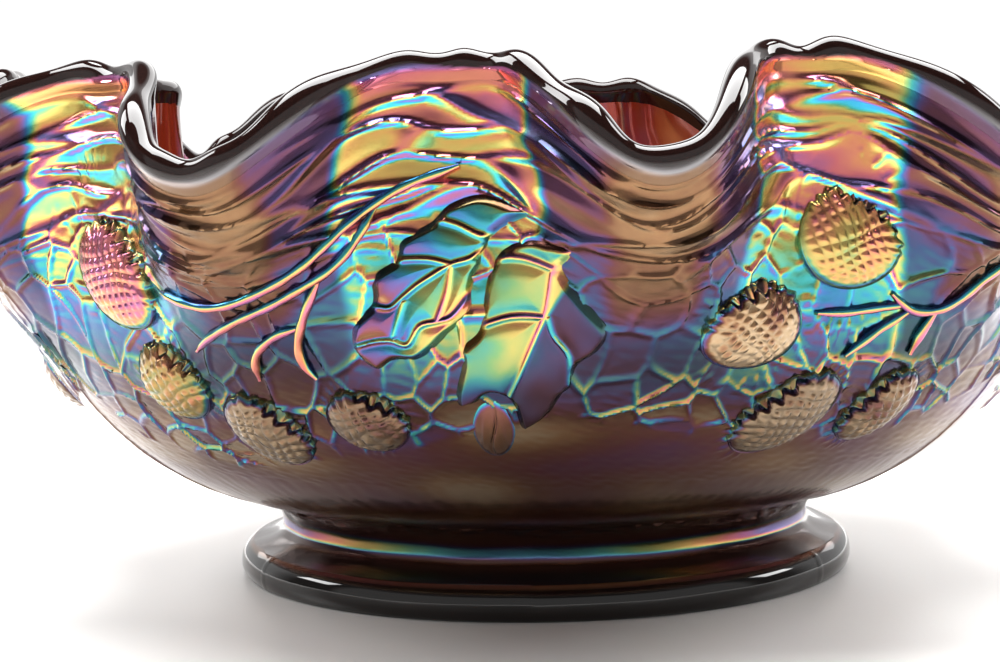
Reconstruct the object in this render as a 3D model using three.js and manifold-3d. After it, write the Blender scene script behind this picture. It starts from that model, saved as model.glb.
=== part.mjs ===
// Carnival glass bowl: one pressing of iridised glass, drawn as the regions that the
// press mould and the finishing tools gave it. Millimetres, +Z up, the foot on z = 0.
// The wall is a shallow bowl turned about Z whose upper part swings in and out in ten
// ruffles. Three equal side parts of the mould give three wall sections, each with the
// same raised vine: one lobed leaf, one bud, two stems and eight fruit heads.
import * as THREE from 'three';
import { mergeVertices } from 'three/addons/utils/BufferGeometryUtils.js';
import Module from 'manifold-3d';

const wasm = await Module();
wasm.setup();

// Foot
const contactRadius = 57.0;
const footRadius = 58.5;
const footWidestHeight = 2.8;
const ringHeight = 6.2;
const ringTopRadius = 56.2;
const ringInnerRadius = 49.5;
const waistRadius = 50.4;
const waistHeight = 9.8;
const junctionRadius = 54.5;
const junctionHeight = 15.5;
const floorRadius = 45;
const floorUnderHeight = 8.5;
const floorCentreHeight = 15.2;
const floorEdgeHeight = 19.7;
const seatGap = 0.3;
const footSegments = 60;
const coveSteps = 3;

// Wall
const wallArcRadius = 59.8;
const wallStartAngle = THREE.MathUtils.degToRad(12);
const wallRise = wallArcRadius * (Math.PI / 2 - wallStartAngle);
const thicknessAtFoot = 6;
const thicknessAtRim = 3.8;
const outerRows = 9;
const segments = 120;
const sectionCount = 3;
const firstSeam = THREE.MathUtils.degToRad(-60);

// Ruffles: the rim line swings between crests, drawn in and up, and valleys, out and down
const ruffles = 10;
const rufflePhase = THREE.MathUtils.degToRad(-8.5);
const ruffleStart = 0.6;
const ruffleEase = 1.63;
const rimRadius = 106.5;
const rimHeight = 88.7;
const swingOut = [11.7, 0.4, -1.3];
const swingUp = [9.6, -2, -0.4];
const crimpDrift = { phase: 0.38, phaseAt: 1.51, out: 4.3, outAt: 1.7, up: 0.6, upAt: 1.21 };

// Fire-polished bead on the rim, crimped into small scallops
const beadHalfHeight = 2.5;
const beadHalfThickness = 2.3;
const beadSides = 5;
const wallTopRise = wallRise - beadHalfHeight;
const scallops = 60;
const scallopDepth = 0.12;

// Raised vine
const clearance = 0.45;
const stemClearance = 0.8;
const stemRadius = 0.75;
const stepsPerSpan = 3;
const leafHeight = 1.5;
const budHeight = 1.3;
const fruitHeight = 3;
const crownTeeth = 7;

const glass = new THREE.Color(0x3a1420);
const materials = {
  foot: new THREE.MeshStandardMaterial({ color: 0x1c1614, roughness: 0.08, metalness: 0.1 }),
  cove: new THREE.MeshStandardMaterial({ color: 0x6b3a4a, roughness: 0.15, metalness: 0.7 }),
  wall: new THREE.MeshStandardMaterial({ color: 0x4f7f86, roughness: 0.22, metalness: 0.8 }),
  bead: new THREE.MeshStandardMaterial({ color: 0x14100f, roughness: 0.05, metalness: 0.2 }),
  floor: new THREE.MeshStandardMaterial({ color: glass, roughness: 0.12, metalness: 0.3 }),
  fruit: new THREE.MeshStandardMaterial({ color: 0xb08a4a, roughness: 0.25, metalness: 0.8 }),
  vine: new THREE.MeshStandardMaterial({ color: 0x2f8f8c, roughness: 0.2, metalness: 0.8 }),
};

const bowl = new THREE.Group();

function addPart(name, geometry, material) {
  const mesh = new THREE.Mesh(geometry, material);
  mesh.name = name;
  bowl.add(mesh);
}

// ---- Surface of the wall -------------------------------------------------------------

// Outside of the wall at an azimuth, counted from -Y towards +X, and a rise along the
// turned arc from the foot junction. Above ruffleStart the rim line takes over.
function outerPoint(azimuth, rise) {
  const angle = wallStartAngle + rise / wallArcRadius;
  const turnedRadius = junctionRadius + wallArcRadius * (Math.sin(angle) - Math.sin(wallStartAngle));
  const turnedHeight = junctionHeight + wallArcRadius * (Math.cos(wallStartAngle) - Math.cos(angle));
  const topRadius = junctionRadius + wallArcRadius * (1 - Math.sin(wallStartAngle));
  const topHeight = junctionHeight + wallArcRadius * Math.cos(wallStartAngle);
  const share = Math.max(0, (rise / wallRise - ruffleStart) / (1 - ruffleStart)) ** ruffleEase;
  const rim = rimLine(azimuth);
  const radius = turnedRadius + share * (rim.radius - topRadius);
  const height = turnedHeight + share * (rim.height - topHeight);
  return new THREE.Vector3(radius * Math.sin(azimuth), -radius * Math.cos(azimuth), height);
}

// Rim line: ten hand-formed ruffles whose pace, reach and height drift twice per turn.
function rimLine(azimuth) {
  const drift = (size, at) => size * Math.cos(2 * (azimuth - at));
  const phase = ruffles * (azimuth - rufflePhase) + drift(crimpDrift.phase, crimpDrift.phaseAt);
  let radius = rimRadius + drift(crimpDrift.out, crimpDrift.outAt);
  let height = rimHeight + drift(crimpDrift.up, crimpDrift.upAt);
  swingOut.forEach((size, order) => { radius -= size * Math.cos((order + 1) * phase); });
  swingUp.forEach((size, order) => { height += size * Math.cos((order + 1) * phase); });
  return { radius, height };
}

// Local frame on the outside of the wall: per-radian and per-millimetre steps, and normal.
function wallFrame(azimuth, rise) {
  const step = 0.01;
  const point = outerPoint(azimuth, rise);
  const along = outerPoint(azimuth + step, rise).sub(outerPoint(azimuth - step, rise));
  const up = outerPoint(azimuth, rise + step).sub(outerPoint(azimuth, rise - step));
  along.divideScalar(2 * step);
  up.divideScalar(2 * step);
  const normal = along.clone().cross(up).normalize();
  return { point, along, up, normal };
}

function innerPoint(azimuth, rise) {
  const { point, normal } = wallFrame(azimuth, rise);
  const thickness = THREE.MathUtils.lerp(thicknessAtFoot, thicknessAtRim, rise / wallRise);
  return point.addScaledVector(normal, -thickness);
}

// Point at a height above the wall, a few millimetres across and up from an anchor.
function reliefPoint(anchor, across, up, height) {
  const frame = wallFrame(anchor.azimuth, anchor.rise);
  const azimuth = anchor.azimuth + across / frame.along.length();
  const rise = anchor.rise + up / frame.up.length();
  const { point, normal } = wallFrame(azimuth, rise);
  return point.addScaledVector(normal, height);
}

// ---- Mesh building -------------------------------------------------------------------

// Indexed triangle builder; quads are split along their shorter diagonal, so that two
// parts sharing a seam split it alike.
function meshBuilder() {
  const points = [];
  const faces = [];
  const add = (point) => points.push(point) - 1;
  const triangle = (a, b, c) => faces.push(a, b, c);
  const quad = (a, b, c, d) => {
    if (points[a].distanceTo(points[c]) <= points[b].distanceTo(points[d])) {
      triangle(a, b, c);
      triangle(a, c, d);
    } else {
      triangle(a, b, d);
      triangle(b, c, d);
    }
  };
  const finish = () => {
    const geometry = new THREE.BufferGeometry().setFromPoints(points);
    geometry.setIndex(faces);
    return geometry;
  };
  return { add, triangle, quad, finish };
}

// Skin through a row of closed loops. An open row gets ladder caps on its two ends.
function loft(loops, ringed) {
  const mesh = meshBuilder();
  const ids = loops.map((loop) => loop.map(mesh.add));
  const sides = loops[0].length;
  const last = ringed ? loops.length : loops.length - 1;
  for (let station = 0; station < last; station += 1) {
    const here = ids[station];
    const next = ids[(station + 1) % loops.length];
    for (let side = 0; side < sides; side += 1) {
      const other = (side + 1) % sides;
      mesh.quad(here[side], next[side], next[other], here[other]);
    }
  }
  if (!ringed) {
    for (let rung = 0; rung < sides / 2 - 1; rung += 1) {
      const start = ids[0];
      const end = ids[ids.length - 1];
      const across = sides - 1 - rung;
      mesh.quad(start[rung], start[rung + 1], start[across - 1], start[across]);
      mesh.quad(end[rung], end[across], end[across - 1], end[rung + 1]);
    }
  }
  return mesh.finish();
}

// Closed lens: a domed top over a back, on rings that grow from the middle to an outline.
function lens(outline, spokes, rings, topPoint, backPoint) {
  const mesh = meshBuilder();
  const place = (build, ring, spoke) => {
    const angle = (2 * Math.PI * spoke) / spokes;
    const share = ring / rings;
    const reach = outline(angle);
    return mesh.add(build(reach.across * share, reach.up * share, share, angle));
  };
  const edge = Array.from({ length: spokes }, (_, spoke) => place(backPoint, rings, spoke));
  const side = (build, facing) => {
    const centre = mesh.add(build(0, 0, 0, 0));
    let inner = null;
    for (let ring = 1; ring <= rings; ring += 1) {
      const outer = ring === rings ? edge : edge.map((_, spoke) => place(build, ring, spoke));
      for (let spoke = 0; spoke < spokes; spoke += 1) {
        const next = (spoke + 1) % spokes;
        const [a, b] = facing ? [spoke, next] : [next, spoke];
        if (inner) mesh.quad(inner[a], outer[a], outer[b], inner[b]);
        else mesh.triangle(centre, outer[a], outer[b]);
      }
      inner = outer;
    }
  };
  side(topPoint, true);
  side(backPoint, false);
  return mesh.finish();
}

function toSolid(geometry) {
  const bare = geometry.clone();
  bare.deleteAttribute('normal');
  bare.deleteAttribute('uv');
  const merged = mergeVertices(bare);
  const vertProperties = Float32Array.from(merged.attributes.position.array);
  const triVerts = Uint32Array.from(merged.index.array);
  return new wasm.Manifold(new wasm.Mesh({ numProp: 3, vertProperties, triVerts }));
}

function fromSolid(solid) {
  const result = solid.getMesh();
  const geometry = new THREE.BufferGeometry();
  geometry.setAttribute('position', new THREE.BufferAttribute(result.vertProperties, 3));
  geometry.setIndex(new THREE.BufferAttribute(result.triVerts, 1));
  return geometry;
}

// Turned body: profile points are (radius, height), closed on themselves or on the axis.
function turned(profile) {
  const geometry = new THREE.LatheGeometry(profile, footSegments);
  return geometry.rotateX(Math.PI / 2);
}

const at = (radius, height) => new THREE.Vector2(radius, height);

function curvePoints(from, control, to, steps) {
  return new THREE.QuadraticBezierCurve(from, control, to).getPoints(steps);
}

// ---- Foot and floor ------------------------------------------------------------------

function footRing() {
  const toe = curvePoints(at(contactRadius, 0), at(footRadius, 0), at(footRadius, footWidestHeight), 3);
  const shoulderControl = at(footRadius, ringHeight - 1);
  const shoulder = curvePoints(toe[toe.length - 1], shoulderControl, at(ringTopRadius, ringHeight), 3);
  const outline = [...toe, ...shoulder.slice(1)];
  const innerTop = at(ringInnerRadius - 1, ringHeight);
  const innerEdge = at(ringInnerRadius, 1);
  const innerContact = at(ringInnerRadius + 1, 0);
  return turned([...outline, innerTop, innerEdge, innerContact, outline[0]]);
}

function footCove() {
  const lowerControl = at(waistRadius, ringHeight + 0.8);
  const upperControl = at(waistRadius, junctionHeight - 2.2);
  const waist = at(waistRadius, waistHeight);
  const lower = curvePoints(at(ringTopRadius, ringHeight), lowerControl, waist, coveSteps);
  const upper = curvePoints(waist, upperControl, at(junctionRadius, junctionHeight), coveSteps);
  const innerTop = at(floorRadius + seatGap, junctionHeight);
  const innerBottom = at(ringInnerRadius - 1, ringHeight);
  const innerStep = at(floorRadius + seatGap, floorUnderHeight);
  return turned([...lower, ...upper.slice(1), innerTop, innerStep, innerBottom, lower[0]]);
}

// The disc closes the bowl; its rim meets the three wall sections facet for facet.
function floorDisc() {
  const mesh = meshBuilder();
  const ring = (radius, height) => Array.from({ length: segments }, (_, index) => {
    const azimuth = stationAzimuth(index);
    return mesh.add(floorPoint(azimuth, radius, height));
  });
  const bowlHeight = (radius) => THREE.MathUtils.lerp(
    floorCentreHeight, floorEdgeHeight, (radius / floorRadius) ** 2,
  );
  const half = floorRadius / 2;
  const rings = [
    ring(floorRadius, floorUnderHeight),
    ring(floorRadius, junctionHeight),
    ring(floorRadius, floorEdgeHeight),
    ring(half, bowlHeight(half)),
  ];
  const under = mesh.add(new THREE.Vector3(0, 0, floorUnderHeight));
  const top = mesh.add(new THREE.Vector3(0, 0, floorCentreHeight));
  for (let index = 0; index < segments; index += 1) {
    const next = (index + 1) % segments;
    mesh.triangle(under, rings[0][next], rings[0][index]);
    for (let level = 0; level < rings.length - 1; level += 1) {
      const lower = rings[level];
      const upper = rings[level + 1];
      mesh.quad(lower[index], lower[next], upper[next], upper[index]);
    }
    mesh.triangle(top, rings[3][index], rings[3][next]);
  }
  return mesh.finish();
}

function floorPoint(azimuth, radius, height) {
  return new THREE.Vector3(radius * Math.sin(azimuth), -radius * Math.cos(azimuth), height);
}

// ---- Wall and rim --------------------------------------------------------------------

function stationAzimuth(index) {
  return firstSeam + (2 * Math.PI * index) / segments;
}

// Cross-section of the wall: up the outside, back down the inside, in to the floor disc.
function wallLoop(azimuth) {
  const outside = [];
  const inside = [];
  for (let row = 0; row <= outerRows; row += 1) {
    const rise = (wallTopRise * row) / outerRows;
    outside.push(outerPoint(azimuth, rise));
    inside.unshift(innerPoint(azimuth, rise));
  }
  const heel = floorPoint(azimuth, floorRadius, junctionHeight);
  const floorEdge = floorPoint(azimuth, floorRadius, floorEdgeHeight);
  return [heel, ...outside, ...inside, floorEdge];
}

function wallSection(section) {
  const perSection = segments / sectionCount;
  const loops = [];
  for (let index = 0; index <= perSection; index += 1) {
    loops.push(wallLoop(stationAzimuth((section * perSection + index) % segments)));
  }
  return loft(loops, false);
}

function rimBead() {
  const loops = [];
  for (let index = 0; index < segments; index += 1) {
    const azimuth = stationAzimuth(index);
    const { up, normal } = wallFrame(azimuth, wallTopRise);
    const outside = outerPoint(azimuth, wallTopRise);
    const inside = innerPoint(azimuth, wallTopRise);
    const centre = outside.clone().add(inside).multiplyScalar(0.5);
    const lift = up.clone().normalize();
    const swell = 1 + scallopDepth * Math.cos(scallops * (azimuth - firstSeam));
    const cap = [];
    for (let side = 1; side <= beadSides; side += 1) {
      const angle = THREE.MathUtils.lerp(-0.32, Math.PI + 0.32, (side - 0.5) / beadSides);
      const reach = beadHalfThickness * swell * Math.cos(angle);
      const height = beadHalfHeight * swell * (1.05 + Math.sin(angle));
      cap.push(centre.clone().addScaledVector(normal, reach).addScaledVector(lift, height));
    }
    loops.push([outside, ...cap, inside]);
  }
  return loft(loops, true);
}

// ---- Raised vine ---------------------------------------------------------------------

const degrees = THREE.MathUtils.degToRad;

// Eight fruit heads of one section: place from the section's middle in degrees, rise in
// millimetres, half width, half length, and the lean of the crown from straight up.
const fruits = [
  { turn: -42, rise: 62.5, half: 11.2, length: 8, lean: 35 },
  { turn: -37, rise: 49.2, half: 7.6, length: 6.8, lean: 28 },
  { turn: -27.3, rise: 40.6, half: 8.5, length: 6.6, lean: 50 },
  { turn: -15.3, rise: 43.5, half: 7, length: 6, lean: 28 },
  { turn: 21.2, rise: 57, half: 9.2, length: 7, lean: -4 },
  { turn: 31, rise: 65, half: 9, length: 8, lean: 25 },
  { turn: 26.8, rise: 42.7, half: 10.4, length: 6.4, lean: -40 },
  { turn: 38.6, rise: 42.6, half: 8.6, length: 5.4, lean: -50 },
];

// Stems of one section, as places along the wall: degrees from its middle, rise.
const leftStems = [
  [[-33.8, 62.5], [-28, 63], [-22.5, 65], [-18, 66.6], [-14.5, 68.8], [-10, 70.8], [-5, 72.4]],
  [[-31.4, 55.6], [-28.5, 58.6], [-24.5, 61.8], [-19.5, 63.9], [-15.4, 65.6], [-12.4, 69.4]],
  [[-17, 64.6], [-18.8, 60.8], [-20, 57], [-20, 54], [-19.2, 51.8]],
  [[-19.2, 59.6], [-21.6, 59], [-23.8, 57], [-25, 54.6], [-25.4, 51.4]],
];
const rightStems = [
  [[35.8, 60], [38, 58.5], [40.5, 59], [42.6, 61], [44.4, 64], [46.5, 66.6]],
  [[28, 58], [32, 57.9], [37.2, 58.9]],
  [[31.6, 52.6], [34.4, 55.2], [38, 58.5]],
  [[39.6, 52.4], [39.8, 55.2], [40.6, 59]],
];

// Two overlapping leaves of one section, as outlines through their lobes and notches.
const leaves = {
  upper: {
    middle: [-7.6, 62.4],
    outline: [
      [-15, 55.2], [-14.8, 58.6], [-13, 60.6], [-12.8, 63.2], [-10.8, 64.6], [-10.2, 66.4],
      [-7.6, 67.8], [-6, 69.2], [-3.4, 70], [-0.6, 69.6], [1.4, 69.2], [-1.6, 66.9],
      [-2.9, 64.8], [-4, 61.8], [-4.3, 59.2], [-6.2, 57.2], [-7.8, 55.2], [-9.4, 54],
      [-11.4, 54], [-13.2, 52.8],
    ],
  },
  lower: {
    middle: [0.8, 57],
    outline: [
      [-1.8, 64.6], [-0.4, 66], [2, 67.4], [4.6, 67.4], [4, 65], [5.6, 62.6], [7.8, 59],
      [7, 55.8], [5.2, 53.4], [4.8, 50.4], [3.8, 48.6], [2.8, 45.4], [1.2, 42.8],
      [-0.1, 42.2], [-0.9, 47.6], [-2.8, 49.2], [-4.2, 47.4], [-5.8, 46.8], [-6, 49.2],
      [-5.2, 53.4], [-5.2, 55.4], [-3.6, 57.2], [-3.1, 59.4], [-2.8, 62],
    ],
  },
};

function sectionMiddle(section) {
  return firstSeam + (2 * Math.PI * (section + 0.5)) / sectionCount;
}

function anchorAt(section, [turn, rise]) {
  return { azimuth: sectionMiddle(section) + degrees(turn), rise };
}

// Ovoid head with a toothed crown round its upper end.
function fruitHead(section, { turn, rise, half, length, lean }) {
  const anchor = anchorAt(section, [turn, rise]);
  const tilt = degrees(lean);
  const outline = (angle) => {
    const crown = Math.max(0, Math.sin(angle)) ** 0.5;
    const tooth = 1 + 0.08 * crown * Math.cos(2 * crownTeeth * (angle - Math.PI / 2));
    const across = half * tooth * Math.cos(angle);
    const up = length * tooth * Math.sin(angle);
    return {
      across: across * Math.cos(tilt) + up * Math.sin(tilt),
      up: up * Math.cos(tilt) - across * Math.sin(tilt),
    };
  };
  const dome = (across, up, share) => {
    const height = clearance + fruitHeight * Math.sqrt(1 - 0.92 * share * share);
    return reliefPoint(anchor, across, up, height);
  };
  const back = (across, up) => reliefPoint(anchor, across, up, clearance);
  return lens(outline, 2 * crownTeeth, 3, dome, back);
}

// Pointed oval bud that hangs below the leaves.
function bud(section) {
  const anchor = anchorAt(section, [-2.9, 41.6]);
  const outline = (angle) => ({
    across: 2.8 * Math.cos(angle),
    up: 5 * Math.sin(angle) * (1 + 0.12 * Math.sin(angle) ** 2),
  });
  const dome = (across, up, share) => (
    reliefPoint(anchor, across, up, clearance + budHeight * (1 - 0.85 * share * share))
  );
  const back = (across, up) => reliefPoint(anchor, across, up, clearance);
  return lens(outline, 12, 2, dome, back);
}

// Lobed leaf: a low plate over the wall, from its middle out to the outline.
function leaf(section, { middle, outline }) {
  const anchor = anchorAt(section, middle);
  const frame = wallFrame(anchor.azimuth, anchor.rise);
  const local = outline.map(([turn, rise]) => new THREE.Vector3(
    degrees(turn - middle[0]) * frame.along.length(),
    (rise - middle[1]) * frame.up.length(),
    0,
  ));
  const curve = new THREE.CatmullRomCurve3(local.reverse(), true);
  const edge = (angle) => {
    const point = curve.getPoint(angle / (2 * Math.PI));
    return { across: point.x, up: point.y };
  };
  const dome = (across, up, share) => (
    reliefPoint(anchor, across, up, clearance + leafHeight * (1 - 0.8 * share ** 4))
  );
  const back = (across, up) => reliefPoint(anchor, across, up, clearance);
  return lens(edge, 2 * outline.length, 3, dome, back);
}

// A stem is a six-sided tube that follows the wall; stems that meet are joined.
function stem(section, places) {
  const route = places.map((place) => {
    const { point, normal } = wallFrame(...Object.values(anchorAt(section, place)));
    return point.addScaledVector(normal, stemClearance + stemRadius);
  });
  const path = new THREE.CatmullRomCurve3(route);
  const outline = new THREE.Shape().absarc(0, 0, stemRadius, 0, 2 * Math.PI);
  const steps = stepsPerSpan * (places.length - 1);
  const settings = { steps, curveSegments: 3, extrudePath: path };
  return new THREE.ExtrudeGeometry(outline, settings);
}

function vine(section, stems) {
  const solids = stems.map((places) => toSolid(stem(section, places)));
  return fromSolid(solids.reduce((whole, solid) => whole.add(solid)));
}

// ---- Assembly ------------------------------------------------------------------------

addPart('foot_ring', footRing(), materials.foot);
addPart('foot_cove', footCove(), materials.cove);
addPart('bowl_floor', floorDisc(), materials.floor);
addPart('rim_bead', rimBead(), materials.bead);

['front', 'right', 'left'].forEach((side, section) => {
  addPart(`wall_${side}`, wallSection(section), materials.wall);
  addPart(`leaf_upper_${side}`, leaf(section, leaves.upper), materials.vine);
  addPart(`leaf_lower_${side}`, leaf(section, leaves.lower), materials.vine);
  addPart(`bud_${side}`, bud(section), materials.vine);
  addPart(`stems_leafward_${side}`, vine(section, leftStems), materials.vine);
  addPart(`stems_trailing_${side}`, vine(section, rightStems), materials.vine);
  fruits.forEach((fruit, index) => {
    addPart(`fruit_${side}_${index + 1}`, fruitHead(section, fruit), materials.fruit);
  });
});

export default bowl;
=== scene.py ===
"""Carnival glass bowl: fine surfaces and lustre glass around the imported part.

The press mould's shape is repeated here in millimetres, with +Z up and the foot on z = 0.
Each piece turns into metres as it is made. An azimuth counts from -Y towards +X.
"""
import math

import bmesh
import bpy
import numpy as np
from mathutils import Matrix, Vector


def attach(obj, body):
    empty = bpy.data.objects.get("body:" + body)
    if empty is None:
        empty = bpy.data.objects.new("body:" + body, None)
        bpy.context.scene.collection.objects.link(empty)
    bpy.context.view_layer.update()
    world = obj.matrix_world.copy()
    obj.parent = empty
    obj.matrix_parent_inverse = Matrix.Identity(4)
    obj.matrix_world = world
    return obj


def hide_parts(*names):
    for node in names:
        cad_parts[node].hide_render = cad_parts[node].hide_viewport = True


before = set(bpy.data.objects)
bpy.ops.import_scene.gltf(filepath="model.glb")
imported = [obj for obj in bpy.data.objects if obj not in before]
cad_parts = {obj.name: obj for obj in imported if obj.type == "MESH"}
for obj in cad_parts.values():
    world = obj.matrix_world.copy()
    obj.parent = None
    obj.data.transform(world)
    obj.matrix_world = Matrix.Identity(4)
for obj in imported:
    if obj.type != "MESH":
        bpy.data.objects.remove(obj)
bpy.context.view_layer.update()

METRES = 0.001
TURN = 2 * math.pi
SIDES = ("front", "right", "left")
TINY = 1e-9
# Strongest film that a point of the wall or a fruit head carries
FULL_TONE = 1.2

# Foot
CONTACT_RADIUS = 57.0
FOOT_RADIUS = 58.5
FOOT_WIDEST = 2.8
RING_HEIGHT = 6.2
RING_TOP_RADIUS = 56.2
RING_INNER_RADIUS = 49.5
WAIST_RADIUS = 50.4
WAIST_HEIGHT = 9.8
JUNCTION_RADIUS = 54.5
JUNCTION_HEIGHT = 15.5
FLOOR_RADIUS = 45.0
FLOOR_UNDER = 8.5
FLOOR_CENTRE = 15.2
FLOOR_EDGE = 19.7
SEAT_GAP = 0.3

# Wall
ARC_RADIUS = 59.8
START_ANGLE = math.radians(12)
WALL_RISE = ARC_RADIUS * (math.pi / 2 - START_ANGLE)
THICKNESS_AT_FOOT = 6.0
THICKNESS_AT_RIM = 3.8
SECTION_SPAN = TURN / 3
FIRST_SEAM = math.radians(-60)

# Ruffles
RUFFLES = 10
RUFFLE_PHASE = math.radians(-8.5)
RUFFLE_START = 0.6
RUFFLE_EASE = 1.63
RIM_RADIUS = 106.5
RIM_HEIGHT = 88.7
SWING_OUT = (11.7, 0.4, -1.3)
SWING_UP = (9.6, -2.0, -0.4)
DRIFT_PHASE = (0.38, 1.51)
DRIFT_OUT = (4.3, 1.7)
DRIFT_UP = (0.6, 1.21)

# Rim bead
BEAD_HALF_HEIGHT = 2.5
BEAD_HALF_THICKNESS = 2.3
WALL_TOP = WALL_RISE - BEAD_HALF_HEIGHT
SCALLOPS = 60

# Raised vine: places are degrees from the middle of a section, and rise up the wall
FRUITS = (
    {"turn": -42, "rise": 62.5, "half": 11.2, "length": 8, "lean": 35},
    {"turn": -37, "rise": 49.2, "half": 7.6, "length": 6.8, "lean": 28},
    {"turn": -27.3, "rise": 40.6, "half": 8.5, "length": 6.6, "lean": 50},
    {"turn": -15.3, "rise": 43.5, "half": 7, "length": 6, "lean": 28},
    {"turn": 21.2, "rise": 57, "half": 9.2, "length": 7, "lean": -4},
    {"turn": 31, "rise": 65, "half": 9, "length": 8, "lean": 25},
    {"turn": 26.8, "rise": 42.7, "half": 10.4, "length": 6.4, "lean": -40},
    {"turn": 38.6, "rise": 42.6, "half": 8.6, "length": 5.4, "lean": -50},
)
STEMS = {
    "leafward": (
        ((-33.8, 62.5), (-28, 63), (-22.5, 65), (-18, 66.6), (-14.5, 68.8), (-10, 70.8), (-5, 72.4)),
        ((-31.4, 55.6), (-28.5, 58.6), (-24.5, 61.8), (-19.5, 63.9), (-15.4, 65.6), (-12.4, 69.4)),
        ((-17, 64.6), (-18.8, 60.8), (-20, 57), (-20, 54), (-19.2, 51.8)),
        ((-19.2, 59.6), (-21.6, 59), (-23.8, 57), (-25, 54.6), (-25.4, 51.4)),
    ),
    "trailing": (
        ((35.8, 60), (38, 58.5), (40.5, 59), (42.6, 61), (44.4, 64), (46.5, 66.6)),
        ((28, 58), (32, 57.9), (37.2, 58.9)),
        ((31.6, 52.6), (34.4, 55.2), (38, 58.5)),
        ((39.6, 52.4), (39.8, 55.2), (40.6, 59)),
    ),
}
LEAVES = {
    "upper": {
        "middle": (-7.6, 62.4),
        "outline": (
            (-15, 55.2), (-14.8, 58.6), (-13, 60.6), (-12.8, 63.2), (-10.8, 64.6), (-10.2, 66.4),
            (-7.6, 67.8), (-6, 69.2), (-3.4, 70), (-0.6, 69.6), (1.4, 69.2), (-1.6, 66.9),
            (-2.9, 64.8), (-4, 61.8), (-4.3, 59.2), (-6.2, 57.2), (-7.8, 55.2), (-9.4, 54),
            (-11.4, 54), (-13.2, 52.8),
        ),
        "veins": (
            ((-15.2, 56), (-13.2, 56.5), (-11.5, 56.5), (-10, 56), (-8.8, 58), (-7.2, 58.5),
             (-5.8, 59), (-4.2, 61), (-3, 62.5)),
            ((-13, 60.5), (-11.5, 60), (-10.2, 61), (-9, 62), (-7.5, 63), (-5.8, 64),
             (-4, 64.5), (-2.5, 65.5), (-1.5, 66.5)),
            ((-10.8, 64.5), (-7.8, 64.5), (-5.8, 64)),
            ((-7, 68), (-5.2, 67.5), (-3, 66.5), (-1.2, 66.5)),
            ((-5.8, 64), (-6.2, 61.5), (-7.2, 58.5)),
            ((-10.2, 60.5), (-10.8, 58.5), (-11.2, 57)),
        ),
    },
    "lower": {
        "middle": (0.8, 57),
        "outline": (
            (-1.8, 64.6), (-0.4, 66), (2, 67.4), (4.6, 67.4), (4, 65), (5.6, 62.6), (7.8, 59),
            (7, 55.8), (5.2, 53.4), (4.8, 50.4), (3.8, 48.6), (2.8, 45.4), (1.2, 42.8),
            (-0.1, 42.2), (-0.9, 47.6), (-2.8, 49.2), (-4.2, 47.4), (-5.8, 46.8), (-6, 49.2),
            (-5.2, 53.4), (-5.2, 55.4), (-3.6, 57.2), (-3.1, 59.4), (-2.8, 62),
        ),
        "veins": (
            ((4.8, 67.5), (3.5, 65), (3, 62), (2.5, 59.5), (0.8, 54.5), (-1, 49)),
            ((2.5, 59.5), (-0.5, 59), (-3.2, 58)),
            ((-2, 64.5), (0.8, 65), (3.5, 65)),
            ((2.8, 59.5), (3.2, 57.5), (4.5, 55), (4.5, 50.5)),
        ),
    },
}
BUD = {"turn": -2.8, "rise": 41.6, "half": 3.3, "length": 5.5}
# Lower edge of the crackled ground, and the loose ridge above the stems
NET_EDGE = (
    (-60, 44), (-55, 43), (-51, 34), (-35, 29), (-13, 36), (3.5, 44), (11.5, 41), (18, 37.5),
    (26, 34), (45, 36), (60, 44),
)
BAND_RIDGE = ((-27, 70.5), (-23.2, 71), (-21.2, 70.5), (-19, 70.5), (-17.2, 71.5), (-15, 72))
# Radii that turn a section's azimuths into millimetres, for the ground and for the fruit heads
REFERENCE_RADIUS = 92.0
FRUIT_RADIUS = 96
BAND_SCALE = (math.radians(1) * REFERENCE_RADIUS, 1)

# ---- Surface of the wall -------------------------------------------------------------


def drift(azimuth, size_and_place):
    """Twice-a-turn unevenness of the hand-formed rim."""
    size, place = size_and_place
    return size * np.cos(2 * (azimuth - place))


def ruffle_phase(azimuth):
    """0 on a crest, pi in a valley."""
    return RUFFLES * (azimuth - RUFFLE_PHASE) + drift(azimuth, DRIFT_PHASE)


def outer_points(azimuth, rise):
    """Outside of the wall, before any relief."""
    angle = START_ANGLE + rise / ARC_RADIUS
    turned_radius = JUNCTION_RADIUS + ARC_RADIUS * (np.sin(angle) - math.sin(START_ANGLE))
    turned_height = JUNCTION_HEIGHT + ARC_RADIUS * (math.cos(START_ANGLE) - np.cos(angle))
    top_radius = JUNCTION_RADIUS + ARC_RADIUS * (1 - math.sin(START_ANGLE))
    top_height = JUNCTION_HEIGHT + ARC_RADIUS * math.cos(START_ANGLE)
    share = np.maximum(0, (rise / WALL_RISE - RUFFLE_START) / (1 - RUFFLE_START)) ** RUFFLE_EASE
    phase = ruffle_phase(azimuth)
    rim_radius = RIM_RADIUS + drift(azimuth, DRIFT_OUT)
    rim_height = RIM_HEIGHT + drift(azimuth, DRIFT_UP)
    for order, (out, up) in enumerate(zip(SWING_OUT, SWING_UP), start=1):
        rim_radius = rim_radius - out * np.cos(order * phase)
        rim_height = rim_height + up * np.cos(order * phase)
    radius = turned_radius + share * (rim_radius - top_radius)
    height = turned_height + share * (rim_height - top_height)
    return np.stack([radius * np.sin(azimuth), -radius * np.cos(azimuth), height], axis=-1)


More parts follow.
